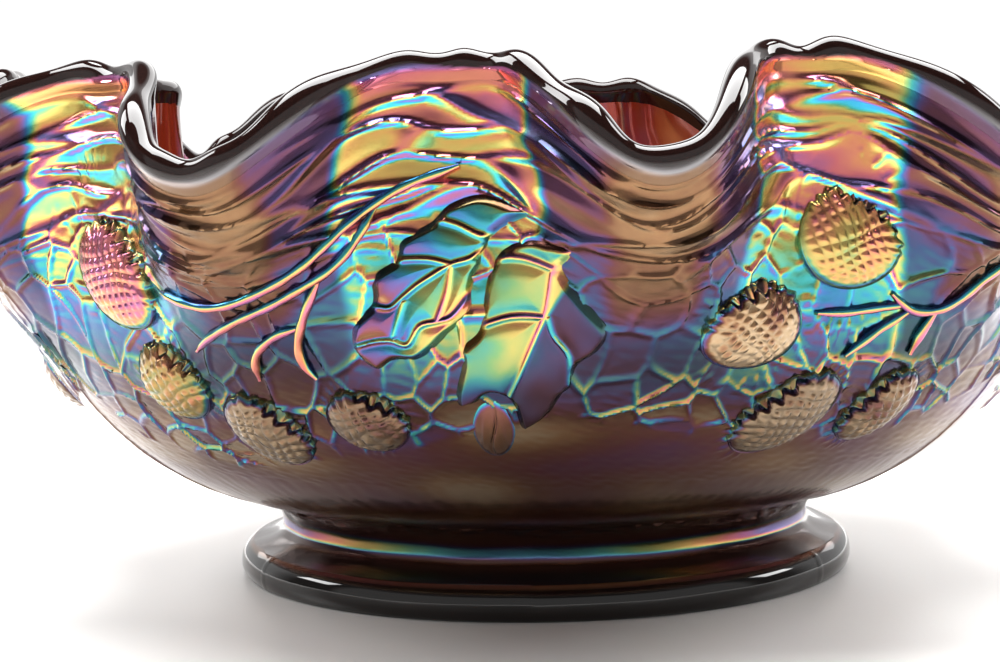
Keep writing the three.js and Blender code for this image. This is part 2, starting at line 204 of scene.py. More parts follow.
def wall_frame(azimuth, rise):
    """Point, step along per radian, step up per millimetre, and outward normal."""
    step = 0.005
    point = outer_points(azimuth, rise)
    along = (outer_points(azimuth + step, rise) - outer_points(azimuth - step, rise)) / (2 * step)
    up = (outer_points(azimuth, rise + step) - outer_points(azimuth, rise - step)) / (2 * step)
    normal = np.cross(along, up)
    normal /= np.linalg.norm(normal, axis=-1, keepdims=True)
    return point, along, up, normal


def inner_points(azimuth, rise):
    """Inside of the wall."""
    point, _, _, normal = wall_frame(azimuth, rise)
    thickness = THICKNESS_AT_FOOT + (THICKNESS_AT_RIM - THICKNESS_AT_FOOT) * rise / WALL_RISE
    return point - normal * thickness[..., None]


def section_middle(section):
    """Azimuth of a section's middle."""
    return FIRST_SEAM + SECTION_SPAN * (section + 0.5)


def place_steps(anchor):
    """Millimetres per radian across, and per millimetre of rise, at an anchor."""
    _, along, up, _ = wall_frame(np.array(anchor[0]), np.array(float(anchor[1])))
    return np.linalg.norm(along), np.linalg.norm(up)


def relief_points(anchor, across, up, height):
    """Points at a height over the wall, some millimetres across and up from an anchor."""
    across_step, up_step = place_steps(anchor)
    point, _, _, normal = wall_frame(anchor[0] + across / across_step, anchor[1] + up / up_step)
    return point + normal * height[..., None], normal


# ---- Fields used by the relief --------------------------------------------------------


def smooth(low, high, value):
    """0 below low, 1 above high, eased between."""
    share = np.clip((value - low) / (high - low), 0, 1)
    return share * share * (3 - 2 * share)


def ridge(distance, width):
    """Rounded ridge, 1 on its crest."""
    return np.exp(-((distance / width) ** 2))


def waves(u, v, seed, size, count=14):
    """Soft random field between about -1 and 1, with patches of the given size in u and v."""
    random = np.random.default_rng(seed)
    total = np.zeros(np.broadcast(u, v).shape)
    for _ in range(count):
        angle, pace = random.uniform(0, TURN), random.uniform(0.6, 1.6)
        shift = random.uniform(0, TURN)
        travel = np.cos(angle) * u / size[0] + np.sin(angle) * v / size[1]
        total += np.sin(pace * travel * 2 + shift)
    return total / math.sqrt(count)


def section_waves(turn, v, seed, cycles, size_v, count=12):
    """As waves(), but repeating from one wall section to the next."""
    random = np.random.default_rng(seed)
    total = np.zeros(np.broadcast(turn, v).shape)
    for _ in range(count):
        around = random.integers(-cycles, cycles + 1)
        pace, shift = random.uniform(-1.6, 1.6), random.uniform(0, TURN)
        total += np.sin(around * 3 * turn + pace * v / size_v * 2 + shift)
    return total / math.sqrt(count)


# Rise after which the pattern of cells repeats, above the top of the drawn-out wall
PATTERN_HEIGHT = 200


def cells(turn, v, across_count, size_v, seed, jitter=0.8, stretch=1.0):
    """Distance in millimetres to the nearest cell edge, and a random tone for each cell.

    across_count cells lie side by side in one section, and the pattern repeats there.
    A stretch above 1 draws the cells out sideways.
    """
    radius = REFERENCE_RADIUS / stretch
    size_u = radius * SECTION_SPAN / across_count
    rows = int(PATTERN_HEIGHT / size_v)
    random = np.random.default_rng(seed)
    offset = 0.5 + jitter * (random.random((rows, across_count, 2)) - 0.5)
    tones = random.random((rows, across_count))
    u = (turn + SECTION_SPAN / 2) * radius
    column = np.floor(u / size_u).astype(int)
    row = np.floor(v / size_v).astype(int)

    def seed_at(step_u, step_v):
        c, r = column + step_u, row + step_v
        place = offset[r % rows, c % across_count]
        stagger = 0.5 * (r % 2)
        return (c + place[..., 0] + stagger) * size_u, (r + place[..., 1]) * size_v, c, r

    nearest = np.full(u.shape, np.inf)
    near_u, near_v = np.zeros(u.shape), np.zeros(u.shape)
    tone = np.zeros(u.shape)
    steps = [(i, j) for i in range(-2, 3) for j in range(-2, 3)]
    for step in steps:
        seed_u, seed_v, c, r = seed_at(*step)
        far = (seed_u - u) ** 2 + (seed_v - v) ** 2
        closer = far < nearest
        nearest = np.where(closer, far, nearest)
        near_u, near_v = np.where(closer, seed_u, near_u), np.where(closer, seed_v, near_v)
        tone = np.where(closer, tones[r % rows, c % across_count], tone)
    edge = np.full(u.shape, np.inf)
    for step in steps:
        seed_u, seed_v, _, _ = seed_at(*step)
        gap_u, gap_v = seed_u - near_u, seed_v - near_v
        gap = np.hypot(gap_u, gap_v)
        other = gap > TINY
        gap = np.where(other, gap, 1)
        middle_u, middle_v = (seed_u + near_u) / 2 - u, (seed_v + near_v) / 2 - v
        edge = np.where(other, np.minimum(edge, (middle_u * gap_u + middle_v * gap_v) / gap), edge)
    return edge, tone


def line_distance(u, v, line):
    """Distance from points to an open polyline."""
    best = np.full(np.broadcast(u, v).shape, np.inf)
    for (u0, v0), (u1, v1) in zip(line[:-1], line[1:]):
        run_u, run_v = u1 - u0, v1 - v0
        share = ((u - u0) * run_u + (v - v0) * run_v) / (run_u**2 + run_v**2)
        share = np.clip(share, 0, 1)
        best = np.minimum(best, np.hypot(u - u0 - share * run_u, v - v0 - share * run_v))
    return best


def smooth_line(places, per_span, closed=False):
    """Catmull-Rom curve through places, as an array of points."""
    points = np.array(places, float)
    count = len(points)
    spans = count if closed else count - 1
    out = []
    for span in range(spans):
        if closed:
            a, b, c, d = (points[(span + k - 1) % count] for k in range(4))
        else:
            a, b, c, d = (points[min(max(span + k - 1, 0), count - 1)] for k in range(4))
        t = (np.arange(per_span) / per_span)[:, None]
        out.append(0.5 * (2 * b + (c - a) * t + (2 * a - 5 * b + 4 * c - d) * t**2
                          + (3 * b - a - 3 * c + d) * t**3))
    if not closed:
        out.append(points[-1:])
    return np.concatenate(out)


# ---- Mesh making ----------------------------------------------------------------------

# Edges between faces that meet at more than this are shaded sharp
SHARP_DEGREES = 62


class Skin:
    """Collects points, values per point, and faces for one piece."""

    def __init__(self):
        self.points, self.values, self.faces, self.inside = [], [], [], []
        self.total = 0

    def add(self, points, film=0.5, tone=1.0, pearl_and_reflection=0.0):
        """Adds a block of points; returns their numbers in the block's own shape."""
        shape = points.shape[:-1]
        ids = np.arange(self.total, self.total + int(np.prod(shape))).reshape(shape)
        self.total += ids.size
        self.points.append(points.reshape(-1, 3))
        kept = [np.broadcast_to(value, shape).reshape(-1) for value in (film, tone, pearl_and_reflection)]
        self.values.append(np.stack(kept, axis=-1))
        return ids

    def face(self, quads, inside=False):
        """Adds faces of four point numbers, the last one -1 on triangles."""
        quads = np.asarray(quads).reshape(-1, 4)
        self.faces.append(quads)
        self.inside.append(np.full(len(quads), inside))

    def grid(self, ids, around=False, inside=False):
        """Quads over a grid; columns go round, rows go up."""
        right = np.roll(ids, -1, axis=1) if around else ids[:, 1:]
        left = ids if around else ids[:, :-1]
        quads = np.stack([left[:-1], right[:-1], right[1:], left[1:]], axis=-1)
        self.face(quads, inside)

    def stitch(self, first, second):
        """Triangles between two rows of different length that start and end together."""
        i = j = 0
        triangles = []
        while i < len(first) - 1 or j < len(second) - 1:
            ahead_i = (i + 1) / (len(first) - 1)
            ahead_j = (j + 1) / (len(second) - 1)
            if j == len(second) - 1 or (i < len(first) - 1 and ahead_i <= ahead_j):
                triangles.append((first[i], first[i + 1], second[j], -1))
                i += 1
            else:
                triangles.append((first[i], second[j + 1], second[j], -1))
                j += 1
        self.face(triangles)

    def fan(self, ring, centre):
        """Closes a ring with triangles to one point."""
        after = np.roll(ring, -1)
        triangles = np.stack([ring, after, np.full(len(ring), centre), np.full(len(ring), -1)], -1)
        self.face(triangles)


def turn_faces_out(mesh):
    """Makes every face of a closed mesh look outwards."""
    work = bmesh.new()
    work.from_mesh(mesh)
    bmesh.ops.recalc_face_normals(work, faces=work.faces)
    work.to_mesh(mesh)
    work.free()


def make_piece(name, skin, materials, replaced):
    """Turns a skin into a shown piece that stands for CAD nodes."""
    points = np.concatenate(skin.points) * METRES
    values = np.concatenate(skin.values)
    faces = np.concatenate(skin.faces)
    inside = np.concatenate(skin.inside)
    sizes = np.where(faces[:, 3] < 0, 3, 4)
    corners = faces[faces >= 0]
    mesh = bpy.data.meshes.new(name)
    mesh.vertices.add(len(points))
    mesh.vertices.foreach_set("co", points.astype(np.float32).ravel())
    mesh.loops.add(len(corners))
    mesh.loops.foreach_set("vertex_index", corners.astype(np.int32))
    mesh.polygons.add(len(faces))
    starts = np.concatenate([[0], np.cumsum(sizes)[:-1]])
    mesh.polygons.foreach_set("loop_start", starts.astype(np.int32))
    mesh.polygons.foreach_set("loop_total", sizes.astype(np.int32))
    for material in materials:
        mesh.materials.append(material)
    mesh.polygons.foreach_set("material_index", inside.astype(np.int32))
    mesh.polygons.foreach_set("use_smooth", np.ones(len(faces), bool))
    for column, label in enumerate(("film", "tone", "pearl_and_reflection")):
        attribute = mesh.attributes.new(label, "FLOAT", "POINT")
        attribute.data.foreach_set("value", values[:, column].astype(np.float32))
    mesh.update(calc_edges=True)
    turn_faces_out(mesh)
    mesh.set_sharp_from_angle(angle=math.radians(SHARP_DEGREES))
    piece = bpy.data.objects.new(name, mesh)
    bpy.context.scene.collection.objects.link(piece)
    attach(piece, "root")
    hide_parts(*replaced)
    return piece


# ---- Lustre ---------------------------------------------------------------------------

# Place in FILM_COLOURS given to surfaces that lean over by these degrees: painted sheen, the film's
# colour set by which way a surface faces, standing in for its change with the angle of light and view
LEAN_DEGREES = (-40, -20, -8, 0, 6, 9, 11, 14, 18, 21, 24, 27, 30, 34, 38, 43, 52, 80)
LEAN_SHEEN_FILM = (1.0, 0.92, 0.86, 0.82, 0.77, 0.74, 0.66, 0.58, 0.54, 0.47, 0.42, 0.33, 0.27, 0.21, 0.15,
             0.13, 0.12, 0.11)
# How far the lean of the ruffles, and of the relief, moves the painted sheen
RUFFLE_WEIGHT = 0.2
RELIEF_WEIGHT = 0.8
# Radius that turns an azimuth into millimetres for random patches
PATCH_RADIUS = 100
PATCH_FILM = 0.07
# Degrees over which a ledge that faces up is darkened with painted shade, for the dark ceiling it
# reflects
CEILING_SHADE_LEANS = (4, 24)

# Ruffles count from 0 on a crest to 1 in a valley. Painted shade darkens their flanks and a painted
# reflection of the floor browns their valleys: where the painted shade begins at the rim, how
# much further in it begins below, and the rises over which each change comes in
FLANK_START = 0.4
FLANK_START_BELOW = 0.12
FLANK_BLUR = 0.06
FLANK_RISES = (44, 56)
DRAWN_RISES = (60, 74)
FLANK_PAINTED_SHADE = 0.68
FLANK_FILM = 0.1
FLANK_FILM_BELOW = 0.34
FLANK_FILM_RISES = (58, 74)
FLANK_VARIETY = 0.45
VALLEY_START = (0.8, 0.95)
VALLEY_RISES = (56, 64)
VALLEY_REFLECTION_FILM = 0.085
VALLEY_VARIETY = 0.15


def lean_of(normal):
    """Degrees that a surface leans over from upright, 90 facing straight down."""
    return np.degrees(np.arcsin(np.clip(-normal[..., 2], -1, 1)))


def painted_sheen_film(lean):
    """Painted sheen: place in FILM_COLOURS for a lean in degrees."""
    return np.interp(lean, LEAN_DEGREES, LEAN_SHEEN_FILM)


def mould_lean(rise):
    """Lean of the plain turned wall before its ruffles were formed."""
    return np.degrees(math.pi / 2 - START_ANGLE - rise / ARC_RADIUS)


def sheen_and_patchy_film(azimuth, rise, base_normal, fine_normal):
    """Film as painted sheen that follows the mould's lean, a little of the ruffles and most of the
    relief, with random patches.
    """
    plain = mould_lean(rise)
    ruffled = lean_of(base_normal) - plain
    relief = lean_of(fine_normal) - lean_of(base_normal)
    film = painted_sheen_film(plain + RUFFLE_WEIGHT * ruffled + RELIEF_WEIGHT * relief)
    return film + PATCH_FILM * waves(azimuth * PATCH_RADIUS, rise, seed=21, size=(12, 5))


def grid_normals(points):
    """Outward normals of a grid of points, columns going round and rows going up."""
    normal = np.cross(np.gradient(points, axis=1), np.gradient(points, axis=0))
    return normal / np.maximum(np.linalg.norm(normal, axis=-1, keepdims=True), TINY)


def painted_ceiling_shade(normal):
    """1 on ledges of the relief that face up, 0 on the rest: where painted shade for the reflected dark
    ceiling goes.
    """
    return smooth(*CEILING_SHADE_LEANS, -lean_of(normal))


def valley_share(azimuth):
    """0 on a crest of the ruffles, 1 in a valley."""
    return 0.5 - 0.5 * np.cos(ruffle_phase(azimuth))


def paint_ruffle_shade_and_reflection(azimuth, rise, film, tone):
    """Film and tone with painted shade on the ruffles' flanks and a painted floor reflection in their
    valleys.
    """
    share = valley_share(azimuth)
    uneven = share + FLANK_BLUR * waves(azimuth * PATCH_RADIUS, rise, seed=22, size=(9, 4))
    edge = FLANK_START + FLANK_START_BELOW * (1 - smooth(*DRAWN_RISES, rise))
    # Painted shade: the flanks lose tone and change film, standing in for their reflection of the dark
    # room and of the bowl itself
    painted_flank_shade = smooth(edge - FLANK_BLUR, edge + FLANK_BLUR, uneven) * smooth(*FLANK_RISES, rise)
    cool = FLANK_FILM + FLANK_FILM_BELOW * (1 - smooth(*FLANK_FILM_RISES, rise))
    film = film + (cool + FLANK_VARIETY * (film - 0.5) - film) * painted_flank_shade
    # Painted reflection: the valleys, which face down, turn brown as if reflecting the floor
    valley_floor_reflection = smooth(*VALLEY_START, uneven) * smooth(*VALLEY_RISES, rise)
    film = film + (VALLEY_REFLECTION_FILM + VALLEY_VARIETY * (film - 0.3) - film) * valley_floor_reflection
    return film, tone * (1 - FLANK_PAINTED_SHADE * painted_flank_shade)


# ---- Wall -----------------------------------------------------------------------------

COLUMNS = 532
BELLY_ROWS = 16
RELIEF_ROWS = 80
RELIEF_FROM = 26.0
DRAWN_ROWS = 80
DRAWN_FROM = 60.0
INSIDE_STEP = 7
INSIDE_ROWS = 30
# Film strength of glass that is seen from the inside
INSIDE_TONE = 0.6

# Cells of the crackled ground, and of the long folds in the drawn-out upper wall
CRACKLE = {"across_count": 31, "size_v": 5.8, "seed": 11}
FOLDS = {"across_count": 9, "size_v": 4.4, "seed": 12, "jitter": 0.9, "stretch": 4.6}
CRACKLE_HEIGHT = 0.62
CRACKLE_WIDTH = 0.4
CUSHION_DEPTH = 0.12
CUSHION_WIDTH = 0.9
FOLD_HEIGHT = 0.8
FOLD_WIDTH = 0.5
FOLD_SWELL = 0.3
# Rises over which the crackle ends, the folds begin, and the folds end
CRACKLE_END = (66, 70)
FOLDS_BEGIN = (64, 69)
FOLDS_END = (78.0, 78.8)
RELIEF_END = 78.2
TEXTURE_HEIGHT = 0.03
TEXTURE_END = (66, 72)
BAND_HEIGHT = 0.7
BAND_WIDTH = 0.7
SEAM_HEIGHT = 0.22
SEAM_WIDTH = 0.3
# Fine rays in the ground round each fruit head, and their reach in half sizes of the head
RAY_HEIGHT = 0.28
RAYS_BEGIN = (0.98, 1.04)
RAYS_END = (1.1, 1.42)
# Where the upper wall was drawn out, and how fast its length grows there
DRAWN_OUT_FROM = 58
DRAWN_OUT_RATE = 0.03


def net_edge(turn):
    """Rise of the crackled ground's lower edge."""
    lower = np.array(NET_EDGE, float)
    return np.interp(np.degrees(turn), lower[:, 0], lower[:, 1])


def fruit_local(turn, rise, fruit):
    """Across and along a fruit head, in half sizes."""
    width = np.radians(np.degrees(turn) - fruit["turn"]) * FRUIT_RADIUS
    height = rise - fruit["rise"]
    tilt = math.radians(fruit["lean"])
    along_axis = height * math.cos(tilt) + width * math.sin(tilt)
    across_axis = width * math.cos(tilt) - height * math.sin(tilt)
    return across_axis / fruit["half"], along_axis / fruit["length"]


def drawn_rise(rise):
    """Rise with the extra length that the upper wall gained when it was drawn out."""
    return rise + DRAWN_OUT_RATE * np.maximum(0, rise - DRAWN_OUT_FROM) ** 2


def round_fruit(height, turn, rise, patchy):
    """Relief height with fine rays in patches round each fruit head."""
    for fruit in FRUITS:
        across, along = fruit_local(turn, rise, fruit)
        reach = np.hypot(across, along)
        spoke = np.arctan2(along, across)
        rays = np.abs(np.cos(13 * spoke + 3 * reach + np.sin(5 * spoke))) ** 8
        near = smooth(*RAYS_BEGIN, reach) * (1 - smooth(*RAYS_END, reach))
        height = height * (1 - 0.5 * near) + RAY_HEIGHT * rays * near * patchy
    return height


def wall_relief(turn, rise):
    """Relief height over the plain wall, its ridge share, cell tones, and where they show."""
    u = turn * REFERENCE_RADIUS
    v = drawn_rise(rise)

    def field(seed, cycles, size_v):
        return section_waves(turn, v, seed, cycles, size_v)

    sway_u = 1.7 * field(seed=3, cycles=9, size_v=9)
    sway_v = 1.4 * field(seed=4, cycles=9, size_v=7)
    edge, tone = cells(turn + sway_u / REFERENCE_RADIUS, v + sway_v, **CRACKLE)
    strength = 0.8 + 0.3 * field(seed=5, cycles=12, size_v=6)
    net = smooth(0, 2, rise - net_edge(turn)) * (1 - smooth(*CRACKLE_END, rise))
    crackle = ridge(edge, CRACKLE_WIDTH) * strength * net
    long_turn = turn + 0.8 * sway_u / REFERENCE_RADIUS
    long_edge, long_tone = cells(long_turn, v + 0.9 * sway_v, **FOLDS)
    upper = smooth(*FOLDS_BEGIN, rise) * (1 - smooth(*FOLDS_END, rise))
    folds = ridge(long_edge, FOLD_WIDTH) * upper * strength
    height = CRACKLE_HEIGHT * crackle + FOLD_HEIGHT * folds
    height = height - CUSHION_DEPTH * np.exp(-edge / CUSHION_WIDTH) * net
    height = height + FOLD_SWELL * upper * field(seed=6, cycles=8, size_v=3)
    patchy = smooth(-0.3, 0.5, field(seed=8, cycles=10, size_v=5))
    height = round_fruit(height, turn, rise, patchy)
    band = line_distance(u, rise, np.array(BAND_RIDGE) * BAND_SCALE)
    height = height + BAND_HEIGHT * ridge(band, BAND_WIDTH)
    seam = np.minimum(turn + SECTION_SPAN / 2, SECTION_SPAN / 2 - turn) * REFERENCE_RADIUS
    height = height + SEAM_HEIGHT * ridge(seam, SEAM_WIDTH)
    texture = field(seed=7, cycles=70, size_v=0.7) * TEXTURE_HEIGHT
    height = height + texture * (1 - smooth(*TEXTURE_END, rise))
    share = np.clip(crackle + folds, 0, 1)
    shown_tone = np.where(rise > sum(CRACKLE_END) / 2, long_tone, tone)
    return height * (1 - smooth(RELIEF_END, WALL_TOP, rise)), share, shown_tone, net + upper


def wall_look(azimuth, rise, normal, fine, relief):
    """Film and tone of the wall's outside, from its plain and its fine normals, with painted sheen, shade
    and highlights.
    """
    _, share, cell_tone, shown = relief
    film = sheen_and_patchy_film(azimuth, rise, normal, fine)
    low = 1 - smooth(48, 58, rise)
    film = film + (0.16 + 0.1 * low) * (cell_tone - 0.5) * shown + (0.14 + 0.16 * low) * share
    # Tone is low on the belly and dips from rise 40 to 45: partly the film's own strength, partly painted
    # shade of the dim floor that the low wall reflects
    tone = 0.34 - 0.17 * smooth(40, 45, rise) + 0.5 * smooth(51, 62, rise)
    # Tone climbs towards the rim; painted highlight: the relief's ridges (share) gain tone
    tone = tone + 0.35 * smooth(64, 74, rise) + 0.3 * share
    # Painted shade on the ruffles' flanks and a painted floor reflection in their valleys
    film, tone = paint_ruffle_shade_and_reflection(azimuth, rise, film, tone)
    # Painted shade: ledges that face up are darkened, for the dark ceiling they reflect
    tone = tone * (1 - 0.65 * painted_ceiling_shade(fine))
    return film, np.clip(tone, 0, FULL_TONE)


def wall_piece(section, materials):
    """One section of the wall between two mould seams, inside and out."""
    skin = Skin()
    turn = np.linspace(-SECTION_SPAN / 2, SECTION_SPAN / 2, COLUMNS + 1)
    belly = np.linspace(0, RELIEF_FROM, BELLY_ROWS, endpoint=False)
    middle = np.linspace(RELIEF_FROM, DRAWN_FROM, RELIEF_ROWS, endpoint=False)
    rise = np.concatenate([belly, middle, np.linspace(DRAWN_FROM, WALL_TOP, DRAWN_ROWS)])
    turns, rises = np.meshgrid(turn, rise)
    azimuths = turns + section_middle(section)
    point, _, _, normal = wall_frame(azimuths, rises)
    relief = wall_relief(turns, rises)
    point = point + normal * relief[0][..., None]
    film, tone = wall_look(azimuths, rises, normal, grid_normals(point), relief)
    outside = skin.add(point, film, tone)
    skin.grid(outside)
    sparse = azimuths[0, ::INSIDE_STEP]
    inner_az, inner_rises = np.meshgrid(sparse, np.linspace(WALL_TOP, 0, INSIDE_ROWS))
    inner = inner_points(inner_az, inner_rises)
    seat = [[FLOOR_RADIUS * np.sin(sparse), -FLOOR_RADIUS * np.cos(sparse), np.full(sparse.shape, z)]
            for z in (FLOOR_EDGE, JUNCTION_HEIGHT)]
    inner = np.concatenate([inner, np.moveaxis(np.array(seat), 1, -1)])
    inner_film = 0.5 + 0.3 * waves(inner[..., 0], inner[..., 2], seed=31, size=(20, 14))
    inside = skin.add(inner, inner_film, INSIDE_TONE)
    skin.grid(inside, inside=True)
    skin.stitch(outside[-1], inside[0])
    skin.stitch(inside[-1], outside[0])
    skin.stitch(inside[::-1, 0], outside[:, 0])
    skin.stitch(outside[:, -1], inside[::-1, -1])
    side = SIDES[section]
    return make_piece(f"lustre_wall_{side}", skin, materials, [f"wall_{side}"])


# ---- Rim bead -------------------------------------------------------------------------

BEAD_STATIONS = 1440
BEAD_SIDES = 26
# Millimetres up and out from the wall's top edge, for the rows that cover the joint
BEAD_COLLAR = ((-0.6, -0.2), (0.2, 0.02), (0.5, 0.05), (0.8, 0.08), (1.1, 0.13), (1.4, 0.18), (1.7, 0.25))
# How far round past its widest places the bead goes, and its seat in half heights
BEAD_WRAP = 0.32
BEAD_SEAT = 1.05
SCALLOP_DEPTH = 0.085
RIPPLES = 37
RIPPLE_DEPTH = 0.05
# Millimetres above the joint where the wall's film ends, and over which it fades out
BEAD_FILM_END = 1.9
BEAD_FILM_FADE = 0.5
# The film turns from gold to pink over these millimetres
BEAD_FILM_TURN = (1.2, 2.2)
# Pale band low on the bead in the valleys: partly a pearly haze of the film, partly a painted reflection
# of the bright floor, which the valleys face
BEAD_PEARL_AT = 2.2
BEAD_PEARL_AND_REFLECTION = 0.3


def bead_rows(azimuth, outside, inside, lift, normal):
    """Rows of points round the bead, from the wall's outside over the top to its inside."""
    centre = (outside + inside) / 2
    uneven = 1.3 * np.sin(5 * azimuth + 1) + 0.8 * np.sin(13 * azimuth)
    swell = 1 + SCALLOP_DEPTH * np.sin(SCALLOPS * azimuth + uneven)
    swell = swell + RIPPLE_DEPTH * np.sin(RIPPLES * azimuth + 2 * uneven)
    bead = [outside + lift * up_by + normal * out_by for up_by, out_by in BEAD_COLLAR]
    for side in range(BEAD_SIDES):
        angle = -BEAD_WRAP + (math.pi + 2 * BEAD_WRAP) * (side + 0.5) / BEAD_SIDES
        reach = BEAD_HALF_THICKNESS * swell * math.cos(angle)
        height = BEAD_HALF_HEIGHT * swell * (BEAD_SEAT + math.sin(angle))
        bead.append(centre + normal * reach[:, None] + lift * height[:, None])
    bead += [inside + lift * 0.3, inside - lift * 0.6 + normal * 0.2]
    return np.stack(bead)


def rim_bead(materials):
    """Fire-polished lip, crimped into uneven scallops, with the film on its lower edge."""
    skin = Skin()
    azimuth = FIRST_SEAM + TURN * np.arange(BEAD_STATIONS) / BEAD_STATIONS
    rise = np.full(azimuth.shape, WALL_TOP)
    outside, _, up, normal = wall_frame(azimuth, rise)
    lift = up / np.linalg.norm(up, axis=-1, keepdims=True)
    rows = bead_rows(azimuth, outside, inner_points(azimuth, rise), lift, normal)
    above = np.sum((rows - outside) * lift, axis=-1)
    outer = np.arange(len(rows))[:, None] < len(rows) // 2
    rises = WALL_TOP + above
    plain = np.broadcast_to(normal, rows.shape)
    # Painted sheen by the lean of the wall under the bead, with random patches
    film = sheen_and_patchy_film(azimuth, rises, plain, plain) + 0.12 * smooth(*BEAD_FILM_TURN, above)
    line = BEAD_FILM_END + 0.25 * np.sin(23 * azimuth) + 0.2 * np.sin(41 * azimuth + 1)
    lower = outer * (1 - smooth(line, line + BEAD_FILM_FADE, above))
    # Painted shade on the ruffles' flanks and a painted floor reflection in their valleys, on the bead's
    # lower edge too
    film, tone = paint_ruffle_shade_and_reflection(azimuth, rises, film, lower)
    # Pale band in the valleys: partly pearly haze, partly a painted reflection of the bright floor
    pearl_and_reflection = BEAD_PEARL_AND_REFLECTION * outer * ridge(above - BEAD_PEARL_AT, 0.5) * valley_share(azimuth) ** 3
    ids = skin.add(rows, film, tone, pearl_and_reflection)
    skin.grid(np.concatenate([ids, ids[:1]]), around=True)
    return make_piece("polished_rim", skin, materials, ["rim_bead"])


# ---- Foot and floor -------------------------------------------------------------------

TURNED_STATIONS = 480
# Radii that turn an azimuth into millimetres for random patches on the ring and the neck
RING_PATCHES = 58
NECK_PATCHES = 54
PARTING_RISE = 2.0
PARTING_HEIGHT = 0.08
PARTING_WIDTH = 0.3
FOOT_SEAM_HEIGHT = 0.12
FOOT_SEAM_WIDTH = 0.4
SHOULDER_TONE = 0.55
SHOULDER_RISES = (5.4, 6.1)
# Rises over which the stippled line begins, and where the neck's painted sheen band comes and goes
STIPPLE_RISES = (13.2, 14.2)
STIPPLE_HEIGHT = 0.22
NECK_WAVINESS = 0.12
NECK_SHEEN_RISES = ((8.8, 10.2), (11, 12.6))
NECK_SHEEN_TONE_RISES = ((9.0, 10.0), (10.6, 11.6))
# Azimuth that the neck's painted sheen and painted shade turn about
NECK_SHEEN_TURN = 0.2
# The floor's first ring of points, its calm middle, and its waviness
FLOOR_MIDDLE = 2
FLOOR_CALM = (2, 8)
FLOOR_WAVINESS = 0.12


def curve(start, control, end, steps):
    """Quadratic curve between two profile points, ends included."""
    t = np.linspace(0, 1, steps + 1)[:, None]
    return (1 - t) ** 2 * np.array(start) + 2 * t * (1 - t) * np.array(control) + t**2 * np.array(end)


def turned(skin, profile, film, tone, bumps, closed=True):
    """Turned body from (radius, height) places.

    bumps(azimuth, places) moves the surface out, and film(azimuth, places) gives its film.
    """
    azimuth = (TURN * np.arange(TURNED_STATIONS) / TURNED_STATIONS)[None, :]
    profile = np.array(profile, float)
    along = np.gradient(profile, axis=0)
    out = np.stack([along[:, 1], -along[:, 0]], axis=-1)
    out /= np.maximum(np.linalg.norm(out, axis=-1, keepdims=True), TINY)
    push = bumps(azimuth, profile)
    radius = profile[:, :1] + out[:, :1] * push
    height = profile[:, 1:] + out[:, 1:] * push
    points = np.stack([radius * np.sin(azimuth), -radius * np.cos(azimuth), height], axis=-1)
    strength = tone(azimuth, profile) if callable(tone) else tone
    ids = skin.add(points, film(azimuth, profile), strength)
    if closed:
        ids = np.concatenate([ids, ids[:1]])
    skin.grid(ids, around=True)
    return ids


def foot_ring(materials):
    """Plain polished ring that the bowl stands on."""
    toe = curve((CONTACT_RADIUS, 0), (FOOT_RADIUS, 0), (FOOT_RADIUS, FOOT_WIDEST), 10)
    shoulder_control = (FOOT_RADIUS, RING_HEIGHT - 1)
    shoulder = curve(toe[-1], shoulder_control, (RING_TOP_RADIUS, RING_HEIGHT), 14)
    under = curve((RING_INNER_RADIUS - 1, RING_HEIGHT), (RING_INNER_RADIUS, 2), (RING_INNER_RADIUS, 1), 6)
    sole = curve(under[-1], (RING_INNER_RADIUS, 0), (RING_INNER_RADIUS + 1, 0), 4)
    profile = np.concatenate([toe, shoulder[1:], under, sole[1:]])
    seam_places = [FIRST_SEAM + k * SECTION_SPAN for k in range(len(SIDES))]

    def bumps(azimuth, places):
        outer = (places[:, :1] > RING_INNER_RADIUS + 2) * (places[:, 1:] > 0.3)
        parting = PARTING_HEIGHT * ridge(places[:, 1:] - PARTING_RISE, PARTING_WIDTH)
        gaps = [np.angle(np.exp(1j * (azimuth - seam))) * FOOT_RADIUS for seam in seam_places]
        seams = FOOT_SEAM_HEIGHT * sum(ridge(gap, FOOT_SEAM_WIDTH) for gap in gaps)
        uneven = 0.05 * waves(azimuth * RING_PATCHES, places[:, 1:], seed=41, size=(9, 4))
        return outer * (parting + seams + uneven)

    def film(azimuth, places):
        return 0.15 + 0.05 * waves(azimuth * RING_PATCHES, places[:, 1:], seed=42, size=(14, 2))

    skin = Skin()
    on_shoulder = smooth(*SHOULDER_RISES, profile[:, 1:]) * (profile[:, :1] > RING_INNER_RADIUS)
    turned(skin, profile, film, SHOULDER_TONE * on_shoulder, bumps)
    return make_piece("polished_foot", skin, materials, ["foot_ring"])


